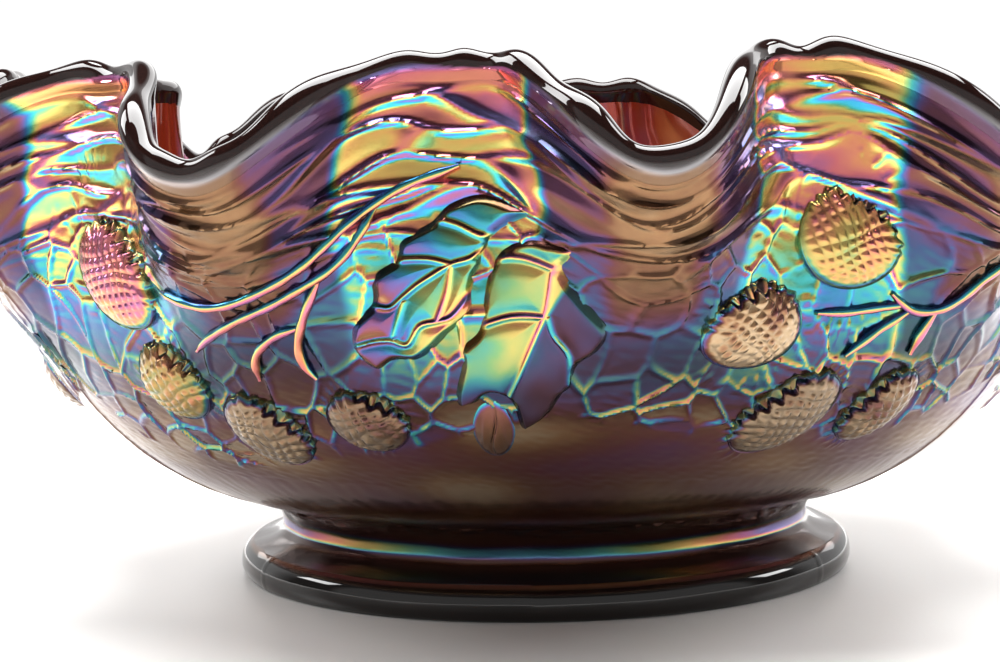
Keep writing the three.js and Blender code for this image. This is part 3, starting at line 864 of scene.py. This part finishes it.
def foot_cove(materials):
    """Waisted band between the foot and the bowl, with a stippled line under the bowl and a painted sheen
    band round its waist.
    """
    lower_control = (WAIST_RADIUS, RING_HEIGHT + 0.8)
    upper_control = (WAIST_RADIUS, JUNCTION_HEIGHT - 2.2)
    waist = (WAIST_RADIUS, WAIST_HEIGHT)
    lower = curve((RING_TOP_RADIUS, RING_HEIGHT), lower_control, waist, 22)
    upper = curve(waist, upper_control, (JUNCTION_RADIUS, JUNCTION_HEIGHT), 30)
    back = [(FLOOR_RADIUS + SEAT_GAP, JUNCTION_HEIGHT), (FLOOR_RADIUS + SEAT_GAP, FLOOR_UNDER),
            (RING_INNER_RADIUS - 1, RING_HEIGHT)]
    profile = np.concatenate([lower, upper[1:], back])

    def patches(azimuth, places, **settings):
        return waves(azimuth * NECK_PATCHES, places[:, 1:], **settings)

    def between(rises, places):
        return smooth(*rises[0], places[:, 1:]) * (1 - smooth(*rises[1], places[:, 1:]))

    def bumps(azimuth, places):
        outer = places[:, :1] > WAIST_RADIUS - 0.5
        band = smooth(*STIPPLE_RISES, places[:, 1:])
        grain = STIPPLE_HEIGHT * band * patches(azimuth, places, seed=51, size=(1.1, 0.9), count=20)
        return outer * (grain + NECK_WAVINESS * patches(azimuth, places, seed=52, size=(6, 3)))

    def film(azimuth, places):
        # Painted sheen: the band's colour turns with azimuth, teal-blue at front and back, through gold
        # to pink towards the sides
        sheen = np.cos(2 * azimuth + NECK_SHEEN_TURN) + 0.3 * patches(azimuth, places, seed=53, size=(60, 9))
        return 0.13 + between(NECK_SHEEN_RISES, places) * (0.70 - 0.38 * sheen)

    def tone(azimuth, places):
        # Painted shade: the band is darker at front and back, for the dim floor by the foot that it
        # reflects, and lighter at the sides
        painted_light_by_side = 0.42 - 0.26 * np.cos(2 * azimuth + NECK_SHEEN_TURN)
        return 0.12 + between(NECK_SHEEN_TONE_RISES, places) * painted_light_by_side

    skin = Skin()
    turned(skin, profile, film, tone, bumps)
    return make_piece("lustre_waist", skin, materials, ["foot_cove"])


def bowl_floor(materials):
    """Disc that closes the bowl, hollowed a little inside."""
    radii = np.linspace(FLOOR_RADIUS, FLOOR_MIDDLE, 24)
    top = [(r, FLOOR_CENTRE + (FLOOR_EDGE - FLOOR_CENTRE) * (r / FLOOR_RADIUS) ** 2) for r in radii]
    under = [(FLOOR_MIDDLE, FLOOR_UNDER), (FLOOR_RADIUS, FLOOR_UNDER), (FLOOR_RADIUS, JUNCTION_HEIGHT)]

    def patches(azimuth, places, **settings):
        return waves(places[:, :1] * np.sin(azimuth), places[:, :1] * np.cos(azimuth), **settings)

    def bumps(azimuth, places):
        inside = places[:, 1:] > FLOOR_UNDER + 1
        calm = smooth(*FLOOR_CALM, places[:, :1])
        return inside * calm * FLOOR_WAVINESS * patches(azimuth, places, seed=61, size=(9, 9))

    def film(azimuth, places):
        return 0.45 + 0.25 * patches(azimuth, places, seed=62, size=(22, 22))

    skin = Skin()
    ids = turned(skin, under + top, film, INSIDE_TONE, bumps, closed=False)
    for ring, height in ((ids[0], FLOOR_UNDER), (ids[-1], FLOOR_CENTRE)):
        centre = skin.add(np.array([[0, 0, height]]), tone=INSIDE_TONE)
        skin.fan(ring, centre[0])
    return make_piece("lustre_well", skin, materials, ["bowl_floor"])


# ---- Raised vine ----------------------------------------------------------------------

# The back of a raised patch lies this deep in the wall, as shares of its outline
BACK_DEPTH = 0.7
BACK_SHARES = ((1.0,), (0.5,))
BACK_TONE = 0.5


def patch(skin, anchor, edge, rings, height, values):
    """Raised patch grown from its middle to an outline, closed by a back inside the wall.

    edge holds (across, up) for each spoke. height(across, up, share) is over the wall, and
    values(across, up, share, normal) gives film and tone.
    """
    shares = np.linspace(0, 1, rings + 1)[1:, None]
    across, up = shares * edge[:, 0], shares * edge[:, 1]
    shares = np.broadcast_to(shares, across.shape)
    points, normal = relief_points(anchor, across, up, height(across, up, shares))
    fine = grid_normals(points[::-1])[::-1]
    facing = np.sign(np.sum(fine * normal, axis=-1, keepdims=True))
    fine = fine * np.where(facing == 0, 1, facing)
    film, tone = values(across, up, shares, fine)
    ids = skin.add(points, film, tone)
    skin.grid(ids, around=True)
    zero = np.zeros(1)
    middle, _ = relief_points(anchor, zero, zero, height(zero, zero, zero))
    middle_id = skin.add(middle, film[0].mean(), tone[0].mean())
    skin.fan(ids[0], middle_id[0])
    back_across, back_up = BACK_SHARES * edge[:, 0], BACK_SHARES * edge[:, 1]
    back, _ = relief_points(anchor, back_across, back_up, np.full(back_across.shape, -BACK_DEPTH))
    back_ids = skin.add(back, tone=BACK_TONE)
    skin.grid(np.stack([ids[-1], back_ids[0], back_ids[1]]), around=True)
    back_middle, _ = relief_points(anchor, zero, zero, zero - BACK_DEPTH)
    back_id = skin.add(back_middle, tone=BACK_TONE)
    skin.fan(back_ids[1], back_id[0])


def anchor_at(section, turn, rise):
    """Azimuth and rise of a place given in degrees from a section's middle."""
    return section_middle(section) + math.radians(turn), rise


def local_line(anchor, middle, places):
    """Places of a section as millimetres across and up from the leaf's middle."""
    across_step, up_step = place_steps(anchor)
    places = np.array(places, float)
    across = np.radians(places[:, 0] - middle[0]) * across_step
    return np.stack([across, (places[:, 1] - middle[1]) * up_step], axis=-1)


def plain_normal(anchor, across, up):
    """Normal of the plain wall under a patch."""
    return relief_points(anchor, across, up, np.zeros(across.shape))[1]


LEAF_RINGS = 64
LEAF_SUNK = 0.2
LEAF_LIFT = 1.0
LEAF_STEP = (-0.4, 1.3)
PILLOW_HEIGHT = 0.55
PILLOW_WIDTH = 1.5
VEIN_HEIGHT = 0.5
VEIN_WIDTH = 0.42
LEAF_RIPPLE = 0.1
# Lean about which the relief of a leaf changes its painted sheen
LEAF_LEAN = 19
VEIN_FILM = 0.22
LEAF_TONE = 0.62
LEAF_TONE_LOW = 0.3
LEAF_TONE_RISES = (45, 56)


def dark_half(across, up):
    """1 on the purple half of the lower leaf, right of its midrib."""
    return smooth(0.9, 2.1, across - 0.53 * up)


def leaf_tint(which, across, up):
    """Film of a leaf: cool on the upper one, olive and purple on the halves of the lower one."""
    if which == "upper":
        film = 0.50 + 0.016 * across - 0.01 * up + 0.18 * smooth(3, 8, across - 0.8 * up)
        return film - 0.15 * smooth(6, 10, -across - 0.6 * up)
    purple = dark_half(across, up)
    return 0.63 - 0.34 * purple - 0.3 * smooth(4, 13, -up) * (1 - purple)


def leaf(section, which, materials):
    """Lobed leaf: pillows between raised veins, with a steep edge all round."""
    shape = LEAVES[which]
    middle = shape["middle"]
    anchor = anchor_at(section, *middle)
    edge = smooth_line(local_line(anchor, middle, shape["outline"]), 18, closed=True)
    veins = [smooth_line(local_line(anchor, middle, places), 4) for places in shape["veins"]]
    border = np.concatenate([edge[::3], edge[:1]])

    def distances(across, up):
        to_vein = np.min([line_distance(across, up, vein) for vein in veins], axis=0)
        return to_vein, line_distance(across, up, border)

    def height(across, up, share):
        to_vein, to_edge = distances(across, up)
        to_edge = to_edge * (share < 1)
        pillow = 1 - ridge(np.minimum(to_vein, to_edge + 0.6), PILLOW_WIDTH)
        rib = ridge(to_vein, VEIN_WIDTH) * smooth(0, 0.6, to_edge)
        ripple = LEAF_RIPPLE * waves(across, up, seed=71, size=(4, 4))
        raised = LEAF_LIFT + PILLOW_HEIGHT * pillow + VEIN_HEIGHT * rib + ripple
        return -LEAF_SUNK + smooth(*LEAF_STEP, to_edge) * raised

    def values(across, up, share, normal):
        to_vein, to_edge = distances(across, up)
        rib = ridge(to_vein, 0.5)
        relief = lean_of(normal) - lean_of(plain_normal(anchor, across, up))
        # Painted sheen: the leaf's film moves with the lean of its relief
        shift = painted_sheen_film(LEAF_LEAN + 0.5 * relief) - painted_sheen_film(LEAF_LEAN)
        film = leaf_tint(which, across, up) + 0.7 * shift
        film = film + 0.05 * waves(across, up, seed=72, size=(5, 5)) + VEIN_FILM * rib
        low = 1 - smooth(*LEAF_TONE_RISES, middle[1] + up)
        # Painted highlight on the veins (rib) and painted shade along the leaf's steep edge
        tone = LEAF_TONE + 0.3 * rib - 0.25 * ridge(to_edge, 0.5) - LEAF_TONE_LOW * low
        if which == "lower":
            tone = tone * (0.8 - 0.55 * dark_half(across, up) * (1 - rib))
        # Painted shade: ledges that face up are darkened, for the dark ceiling they reflect
        return film, np.clip(tone * (1 - 0.85 * painted_ceiling_shade(normal)), 0.05, 1.1)

    skin = Skin()
    patch(skin, anchor, edge, LEAF_RINGS, height, values)
    side = SIDES[section]
    name = f"leaf_blade_{which}_{side}"
    return make_piece(name, skin, materials, [f"leaf_{which}_{side}"])


BUD_SPOKES = 160
BUD_RINGS = 24
BUD_SUNK = 0.3
BUD_LIFT = 1.7
BUD_SPLIT = 0.35
BUD_SCALES = 0.25
BUD_RIM = (0.8, 1)


def bud(section, materials):
    """Closed pointed bud with a split down its middle."""
    anchor = anchor_at(section, BUD["turn"], BUD["rise"])
    angle = TURN * np.arange(BUD_SPOKES) / BUD_SPOKES
    long = BUD["length"] * np.sin(angle) * (1 + 0.12 * np.sin(angle) ** 2)
    edge = np.stack([BUD["half"] * np.cos(angle), long], axis=-1)

    def height(across, up, share):
        dome = 1 - 0.85 * share**2
        split = ridge(across - 0.5 * np.sin(up * 0.5), 0.28)
        scales = BUD_SCALES * ridge(np.abs(across) - 1.5 + 0.12 * up, 0.3)
        return -BUD_SUNK + BUD_LIFT * dome - BUD_SPLIT * split * dome + scales * dome

    def values(across, up, share, normal):
        rim = smooth(*BUD_RIM, share)
        # Painted sheen: the bud's film follows the lean of its surface
        return 0.08 + 0.12 * painted_sheen_film(lean_of(normal)) + 0.4 * rim, 0.34 + 0.3 * rim

    skin = Skin()
    patch(skin, anchor, edge, BUD_RINGS, height, values)
    side = SIDES[section]
    return make_piece(f"bud_scales_{side}", skin, materials, [f"bud_{side}"])


STEM_RADIUS = 0.75
STEM_SIDES = 14
# How far the middle of a stem stands out of the wall
STEM_LIFT = 0.45
STEM_TONE = 0.65
# Painted highlight: a stem's film follows the lean of its surface, blue-teal where it faces up and orange
# to pink where it faces down
STEM_LEAN = (-40, 0, 14, 35, 60)
STEM_SHEEN_FILM = (0.38, 0.5, 0.82, 0.88, 0.92)


def stems(section, which, materials):
    """Stems half sunk in the wall, tapering a little at their free ends."""
    skin = Skin()
    for number, places in enumerate(STEMS[which]):
        line = smooth_line(places, 14)
        azimuth = section_middle(section) + np.radians(line[:, 0])
        point, _, _, normal = wall_frame(azimuth, line[:, 1])
        travel = np.gradient(point, axis=0)
        travel /= np.linalg.norm(travel, axis=-1, keepdims=True)
        side_way = np.cross(normal, travel)
        length = np.concatenate([[0], np.cumsum(np.linalg.norm(np.diff(point, axis=0), axis=-1))])
        taper = 0.45 + 0.55 * smooth(0, 3, np.minimum(length, length[-1] - length))
        girth = STEM_RADIUS * taper * (1 + 0.08 * np.sin(length * 1.3 + number))
        loops = []
        for side in range(STEM_SIDES):
            angle = TURN * side / STEM_SIDES
            offset = normal * math.sin(angle) + side_way * math.cos(angle)
            loops.append(point + normal * STEM_LIFT + offset * girth[:, None])
        rows = np.stack(loops, axis=1)
        outward = rows - (point + normal * STEM_LIFT)[:, None, :]
        outward /= np.linalg.norm(outward, axis=-1, keepdims=True)
        film = np.interp(lean_of(outward), STEM_LEAN, STEM_SHEEN_FILM) + 0.04 * np.sin(length * 0.4)[:, None]
        ids = skin.add(rows, film, STEM_TONE)
        skin.grid(ids, around=True)
        for ring, ends in ((ids[0], rows[0]), (ids[-1], rows[-1])):
            tip = skin.add(ends.mean(axis=0)[None, :], 0.4, 0.9)
            skin.fan(ring, tip[0])
    side = SIDES[section]
    name = f"stem_rods_{which}_{side}"
    return make_piece(name, skin, materials, [f"stems_{which}_{side}"])


# How strongly the film shows on each head, in the order of FRUITS
FRUIT_TONE = (0.68, 0.4, 0.32, 0.3, 0.65, 0.65, 0.3, 0.32)
# How much painted shade darkens the crevices of each crown
FRUIT_CROWN_SHADE = (0.7, 0.5, 0.45, 0.45, 1.0, 1.0, 0.5, 0.45)
# Film on the body of the big first head, and on the others in turn
BIG_HEAD_FILM = 0.84
HEAD_FILMS = (0.02, 0.74, 0.0, 0.05)
FRUIT_SPOKES = 320
FRUIT_RINGS = 76
FRUIT_INSET = 0.97
FRUIT_DOME = 3.1
SCALE_HEIGHT = 0.33
# Millimetres between scales across and along a head
SCALE_PITCH = (2.4, 2.2)
CROWN_CUT = 0.9
CROWN_LEVEL = (0.7, 0.8)


def fruit_head(section, number, materials):
    """Ovoid head covered in scales, with a ragged crown round its upper end."""
    fruit = FRUITS[number]
    anchor = anchor_at(section, fruit["turn"], fruit["rise"])
    tilt = math.radians(fruit["lean"])
    half, length = fruit["half"], fruit["length"]
    angle = TURN * np.arange(FRUIT_SPOKES) / FRUIT_SPOKES
    top = smooth(0.15, 0.5, np.sin(angle))
    bite = np.cos(22 * angle + 1.5 * np.sin(3 * angle + number))
    tooth = 1 + top * (0.035 * bite + 0.03 * np.sin(7 * angle + number))
    across = half * FRUIT_INSET * tooth * np.cos(angle)
    along = length * FRUIT_INSET * tooth * np.sin(angle)
    edge = np.stack([across * math.cos(tilt) + along * math.sin(tilt),
                     along * math.cos(tilt) - across * math.sin(tilt)], axis=-1)

    def own_axes(x, y):
        return x * math.cos(tilt) - y * math.sin(tilt), y * math.cos(tilt) + x * math.sin(tilt)

    def scales(x, y):
        a, b = own_axes(x, y)
        row = (b + 0.4 * waves(x, y, seed=110 + number, size=(3, 3))) / SCALE_PITCH[1]
        column = (a + 0.4 * waves(x, y, seed=130 + number, size=(3, 3))) / SCALE_PITCH[0]
        lattice = np.cos(math.pi * (column + row)) * np.cos(math.pi * (column - row))
        return np.abs(lattice) ** 1.3 * (0.9 + 0.25 * waves(x, y, seed=90 + number, size=(2.5, 2.5)))

    def crown(x, y):
        a, b = own_axes(x, y)
        level = b / length + 0.08 * np.sin(2.6 * a + number)
        spoke = np.arctan2(b / length, a / half)
        teeth = 15 * spoke + 1.3 * np.sin(5 * spoke + number) + 0.5 * np.sin(11 * spoke)
        return smooth(*CROWN_LEVEL, level), np.abs(np.sin(teeth))

    def height(x, y, share):
        dome = FRUIT_DOME * np.sqrt(np.maximum(0, 1 - 0.93 * share**2))
        in_crown, gap = crown(x, y)
        body = dome + SCALE_HEIGHT * (scales(x, y) - 0.4) * (1 - share**4)
        cut = ridge(in_crown - 0.5, 0.42)
        spikes = dome * 0.8 + 0.5 * (0.55 - gap**0.6) - 0.2
        return -0.1 + body * (1 - in_crown) + spikes * in_crown - CROWN_CUT * cut * (share < 0.97)

    def values(x, y, share, normal):
        in_crown, gap = crown(x, y)
        bumps = scales(x, y)
        body = HEAD_FILMS[number % len(HEAD_FILMS)] if number > 0 else BIG_HEAD_FILM
        # Painted sheen: the head's film follows the lean of its surface on the body, the crown and the
        # rim
        lean = painted_sheen_film(lean_of(normal))
        film = body + 0.14 * (lean - 0.5) + 0.05 * (bumps - 0.5)
        film = film + 0.05 * waves(x, y, seed=80 + number, size=(3, 3))
        film = film * (1 - in_crown) + (0.3 + 0.6 * lean) * in_crown
        rim = smooth(0.82, 1, share)
        film = film * (1 - rim) + (0.22 + 0.5 * lean) * rim
        # Painted shade: the crown's gaps and the cut under it are darkened, and the hollows between the
        # scales a little
        dark = 0.8 * in_crown * smooth(0.35, 0.8, gap) + 0.9 * ridge(in_crown - 0.5, 0.4)
        tone = (FRUIT_TONE[number] - 0.1 * (1 - bumps)) * (1 - FRUIT_CROWN_SHADE[number] * dark)
        return np.clip(film, 0, 1), np.clip(tone, 0, FULL_TONE)

    skin = Skin()
    patch(skin, anchor, edge, FRUIT_RINGS, height, values)
    side = SIDES[section]
    name = f"fruit_scales_{side}_{number + 1}"
    return make_piece(name, skin, materials, [f"fruit_{side}_{number + 1}"])


# ---- Materials ------------------------------------------------------------------------

# Reflected colour of the metal-oxide film, from thin to thick (linear red, green, blue)
FILM_COLOURS = (
    (0.00, (0.72, 0.52, 0.30)),
    (0.06, (0.52, 0.29, 0.13)),
    (0.12, (0.30, 0.12, 0.06)),
    (0.18, (0.27, 0.08, 0.08)),
    (0.25, (0.23, 0.08, 0.19)),
    (0.32, (0.15, 0.11, 0.34)),
    (0.39, (0.04, 0.17, 0.44)),
    (0.46, (0.03, 0.32, 0.48)),
    (0.53, (0.05, 0.43, 0.38)),
    (0.60, (0.25, 0.52, 0.20)),
    (0.67, (0.66, 0.59, 0.16)),
    (0.74, (0.88, 0.54, 0.15)),
    (0.80, (0.92, 0.37, 0.16)),
    (0.87, (0.88, 0.23, 0.25)),
    (0.94, (0.60, 0.19, 0.43)),
    (1.00, (0.27, 0.23, 0.56)),
)
DARK_GLASS = (0.020, 0.008, 0.007)
RIM_GLASS = (0.016, 0.006, 0.005)
FOOT_GLASS = (0.008, 0.005, 0.004)
AMBER_GLASS = ((0.15, 0.012, 0.005), (0.24, 0.035, 0.012))
PEARL_AND_REFLECTION = (0.80, 0.80, 0.84)
PRESSED_IOR = 1.52
POLISHED_IOR = 1.45


class Nodes:
    """Short helper for the node tree of a material or of the world."""

    def __init__(self, owner, shader="Principled BSDF"):
        self.owner = owner
        owner.use_nodes = True
        self.tree = owner.node_tree
        self.shader = self.tree.nodes[shader]

    def new(self, kind, **settings):
        node = self.tree.nodes.new(kind)
        for key, value in settings.items():
            setattr(node, key, value)
        return node

    def link(self, source, target):
        self.tree.links.new(source, target)

    def attribute(self, label):
        return self.new("ShaderNodeAttribute", attribute_name=label).outputs["Fac"]

    def noise(self, scale, detail=2.0, stretch=(1, 1, 1)):
        place = self.new("ShaderNodeTexCoord").outputs["Object"]
        mapping = self.new("ShaderNodeMapping")
        mapping.inputs["Scale"].default_value = stretch
        self.link(place, mapping.inputs["Vector"])
        texture = self.new("ShaderNodeTexNoise")
        texture.inputs["Scale"].default_value = scale
        texture.inputs["Detail"].default_value = detail
        self.link(mapping.outputs["Vector"], texture.inputs["Vector"])
        return texture.outputs["Fac"]

    def maths(self, operation, first, second, third=None):
        node = self.new("ShaderNodeMath", operation=operation)
        for socket, value in zip(node.inputs, (first, second, third)):
            if value is None:
                continue
            if isinstance(value, (int, float)):
                socket.default_value = value
            else:
                self.link(value, socket)
        return node.outputs[0]

    def ramp(self, factor, stops):
        node = self.new("ShaderNodeValToRGB")
        elements = node.color_ramp.elements
        while len(elements) < len(stops):
            elements.new(0.5)
        for element, (place, colour) in zip(elements, stops):
            element.position = place
            element.color = (*colour, 1)
        self.link(factor, node.inputs["Fac"])
        return node.outputs["Color"]

    def mix(self, factor, first, second):
        node = self.new("ShaderNodeMix", data_type="RGBA")
        self.link(factor, node.inputs["Factor"])
        for socket, value in ((node.inputs["A"], first), (node.inputs["B"], second)):
            if isinstance(value, tuple):
                socket.default_value = (*value, 1)
            else:
                self.link(value, socket)
        return node.outputs["Result"]

    def bump(self, height, distance):
        node = self.new("ShaderNodeBump")
        node.inputs["Strength"].default_value = 1.0
        node.inputs["Distance"].default_value = distance * METRES
        self.link(height, node.inputs["Height"])
        self.link(node.outputs["Normal"], self.shader.inputs["Normal"])

    def set(self, **values):
        for key, value in values.items():
            self.shader.inputs[key.replace("_", " ")].default_value = value


def lustre(name, metal, rough, coat, drift_size, grain):
    """Dark glass under a metal-oxide film whose colour follows the piece's film value."""
    n = Nodes(bpy.data.materials.new(name))
    cloud = n.noise(scale=38, detail=3, stretch=(1, 1, 2.2))
    speck = n.noise(scale=420)
    film = n.maths("MULTIPLY_ADD", n.maths("SUBTRACT", cloud, 0.5), drift_size, n.attribute("film"))
    film = n.maths("MULTIPLY_ADD", n.maths("SUBTRACT", speck, 0.5), 0.05, film)
    # Where the tone is low the dark glass shows; the pieces lower it for painted shade and raise it for
    # painted highlights
    colour = n.mix(n.attribute("tone"), DARK_GLASS, n.ramp(film, FILM_COLOURS))
    colour = n.mix(n.attribute("pearl_and_reflection"), colour, PEARL_AND_REFLECTION)
    n.link(colour, n.shader.inputs["Base Color"])
    n.link(n.maths("MULTIPLY_ADD", speck, 0.12, rough - 0.06), n.shader.inputs["Roughness"])
    n.set(Metallic=metal, Coat_Weight=coat, Coat_Roughness=0.04, IOR=PRESSED_IOR)
    n.bump(n.noise(scale=1500), grain)
    return n.owner


def polished(name, colour, rough):
    """Fire-polished dark glass with a faint swirl in its gloss; its lower edge keeps the film."""
    n = Nodes(bpy.data.materials.new(name))
    swirl = n.noise(scale=24, stretch=(1, 1, 3))
    base = n.mix(swirl, colour, tuple(0.35 * part for part in colour))
    # The tone sets how much film shows; on the rim it also carries painted shade of the ruffles' flanks
    base = n.mix(n.attribute("tone"), base, n.ramp(n.attribute("film"), FILM_COLOURS))
    # Pale pearly colour where the bead carries it, partly a painted reflection of the floor
    base = n.mix(n.attribute("pearl_and_reflection"), base, PEARL_AND_REFLECTION)
    n.link(base, n.shader.inputs["Base Color"])
    n.link(n.maths("MULTIPLY", n.attribute("tone"), 0.85), n.shader.inputs["Metallic"])
    n.link(n.maths("MULTIPLY_ADD", swirl, 0.03, rough), n.shader.inputs["Roughness"])
    n.set(IOR=POLISHED_IOR)
    n.bump(n.noise(scale=160, detail=1), 0.02)
    return n.owner


def inside_glass(name):
    """Amber-red glass seen from inside the bowl, with a thin patchy film."""
    n = Nodes(bpy.data.materials.new(name))
    cloud = n.noise(scale=45)
    film = n.ramp(n.attribute("film"), FILM_COLOURS)
    amber = n.mix(n.noise(scale=12, detail=1), *AMBER_GLASS)
    share = n.maths("MULTIPLY_ADD", cloud, 2.4, -1.1)
    colour = n.mix(n.maths("MINIMUM", n.maths("MAXIMUM", share, 0.0), 0.55), amber, film)
    n.link(colour, n.shader.inputs["Base Color"])
    n.link(n.maths("MULTIPLY_ADD", cloud, 0.1, 0.03), n.shader.inputs["Roughness"])
    n.set(Metallic=0.3, Coat_Weight=0.6, Coat_Roughness=0.03, IOR=PRESSED_IOR)
    n.bump(n.noise(scale=60), 0.25)
    return n.owner


# ---- Studio ---------------------------------------------------------------------------

# Brightness of the reflected room, from the camera's side to the sweep, and from floor to ceiling
ROOM_BY_DEPTH = ((-1.0, 0.8), (-0.2, 0.8), (-0.1, 0.16), (0.25, 0.16), (0.5, 1.0))
ROOM_BY_HEIGHT = ((-1.0, 0.7), (0.0, 0.9), (0.55, 0.9), (0.66, 0.05), (1.0, 0.05))
FLOOR_HALF = 3.0
FLOOR_COLOUR = (0.90, 0.885, 0.865)
WHITE_STRENGTH = 1.05
FADE_NEAR = 0.05
FADE_FAR = 0.55
# Place and size in metres, and power in watts, of each lamp
LAMPS = {
    "softbox_top": ((0.0, 0.1, 0.85), (0.9, 0.55), 25),
    "softbox_back": ((0.0, 0.9, 0.5), (1.4, 0.4), 3.5),
    "softbox_left": ((-0.75, 0.1, 0.6), (0.3, 0.5), 6.5),
    "softbox_right": ((0.75, 0.15, 0.6), (0.3, 0.5), 6.5),
}
LAMP_AIM = Vector((0, 0, 0.05))
CAMERA_PLACE = (0.01482, -0.42444, 0.0811)
CAMERA_PITCH = 0.0855
CAMERA_YAW = 0.0534
CAMERA_ROLL = -0.0223
CAMERA_LENS = 79.5
CAMERA_CLIP = 0.01


def studio_floor():
    """Pale floor that fades into a white sweep behind the bowl."""
    mesh = bpy.data.meshes.new("studio_floor")
    corners = [(-1, -1), (1, -1), (1, 1), (-1, 1)]
    mesh.from_pydata([(x * FLOOR_HALF, y * FLOOR_HALF, 0) for x, y in corners], [], [(0, 1, 2, 3)])
    floor = bpy.data.objects.new("studio_floor", mesh)
    bpy.context.scene.collection.objects.link(floor)
    n = Nodes(bpy.data.materials.new("pale_floor"))
    n.set(Base_Color=(*FLOOR_COLOUR, 1), Roughness=0.35)
    separate = n.new("ShaderNodeSeparateXYZ")
    n.link(n.new("ShaderNodeTexCoord").outputs["Object"], separate.inputs["Vector"])
    fade = n.new("ShaderNodeMapRange", interpolation_type="SMOOTHSTEP")
    fade.inputs["From Min"].default_value = FADE_NEAR
    fade.inputs["From Max"].default_value = FADE_FAR
    n.link(separate.outputs["Y"], fade.inputs["Value"])
    glow = n.new("ShaderNodeEmission")
    glow.inputs["Strength"].default_value = WHITE_STRENGTH
    mix = n.new("ShaderNodeMixShader")
    n.link(fade.outputs["Result"], mix.inputs["Fac"])
    n.link(n.shader.outputs["BSDF"], mix.inputs[1])
    n.link(glow.outputs["Emission"], mix.inputs[2])
    n.link(mix.outputs["Shader"], n.tree.nodes["Material Output"].inputs["Surface"])
    mesh.materials.append(n.owner)


def studio_world():
    """White behind the bowl for the camera; for reflections a front panel and dark sides."""
    world = bpy.data.worlds.new("studio")
    bpy.context.scene.world = world
    n = Nodes(world, shader="Background")
    place = n.new("ShaderNodeTexCoord")
    separate = n.new("ShaderNodeSeparateXYZ")
    n.link(place.outputs["Generated"], separate.inputs["Vector"])

    def levels(axis, stops):
        node = n.new("ShaderNodeMapRange")
        node.inputs["From Min"].default_value = -1
        n.link(separate.outputs[axis], node.inputs["Value"])
        greys = [((where + 1) / 2, (level, level, level)) for where, level in stops]
        return n.ramp(node.outputs["Result"], greys)

    product = n.new("ShaderNodeVectorMath", operation="MULTIPLY")
    n.link(levels("Y", ROOM_BY_DEPTH), product.inputs[0])
    n.link(levels("Z", ROOM_BY_HEIGHT), product.inputs[1])
    n.link(product.outputs[0], n.shader.inputs["Color"])
    white = n.new("ShaderNodeBackground")
    white.inputs["Color"].default_value = (1, 1, 1, 1)
    white.inputs["Strength"].default_value = WHITE_STRENGTH
    path = n.new("ShaderNodeLightPath")
    mix = n.new("ShaderNodeMixShader")
    n.link(path.outputs["Is Camera Ray"], mix.inputs["Fac"])
    n.link(n.shader.outputs["Background"], mix.inputs[1])
    n.link(white.outputs["Background"], mix.inputs[2])
    n.link(mix.outputs["Shader"], n.tree.nodes["World Output"].inputs["Surface"])


def softbox(name, place, size, power):
    """Rectangular lamp at a place in metres, facing the bowl."""
    light = bpy.data.lights.new(name, "AREA")
    light.shape = "RECTANGLE"
    light.size, light.size_y = size
    light.energy = power
    lamp = bpy.data.objects.new(name, light)
    bpy.context.scene.collection.objects.link(lamp)
    lamp.location = place
    lamp.rotation_euler = (LAMP_AIM - lamp.location).to_track_quat("-Z", "Y").to_euler()


def camera():
    """The photo's camera."""
    data = bpy.data.cameras.new("camera")
    data.lens = CAMERA_LENS
    data.clip_start = CAMERA_CLIP
    eye = bpy.data.objects.new("camera", data)
    bpy.context.scene.collection.objects.link(eye)
    aim = Matrix.Rotation(CAMERA_YAW, 4, "Z") @ Matrix.Rotation(math.pi / 2 - CAMERA_PITCH, 4, "X")
    eye.matrix_world = Matrix.Translation(CAMERA_PLACE) @ aim @ Matrix.Rotation(CAMERA_ROLL, 4, "Z")
    bpy.context.scene.camera = eye


# ---- Assembly -------------------------------------------------------------------------

wall_glass = lustre("lustre_wall", metal=0.9, rough=0.2, coat=0.12, drift_size=0.1, grain=0.012)
leaf_glass = lustre("lustre_leaf", metal=0.9, rough=0.2, coat=0.12, drift_size=0.08, grain=0.01)
fruit_glass = lustre("lustre_fruit", metal=0.85, rough=0.24, coat=0.3, drift_size=0.08, grain=0.015)
waist_glass = lustre("lustre_cove", metal=0.8, rough=0.16, coat=0.15, drift_size=0.12, grain=0.01)
inner_glass = inside_glass("lustre_inside")
rim_glass = polished("polished_rim", RIM_GLASS, rough=0.03)
ring_glass = polished("polished_foot", FOOT_GLASS, rough=0.05)

camera()
studio_floor()
studio_world()
for lamp_name, lamp_settings in LAMPS.items():
    softbox(lamp_name, *lamp_settings)
bpy.context.scene.view_settings.view_transform = "Standard"

foot_ring([ring_glass])
foot_cove([waist_glass])
bowl_floor([inner_glass])
rim_bead([rim_glass])
for section in range(len(SIDES)):
    wall_piece(section, [wall_glass, inner_glass])
    for which in LEAVES:
        leaf(section, which, [leaf_glass])
    bud(section, [leaf_glass])
    for which in STEMS:
        stems(section, which, [leaf_glass])
    for number in range(len(FRUITS)):
        fruit_head(section, number, [fruit_glass])
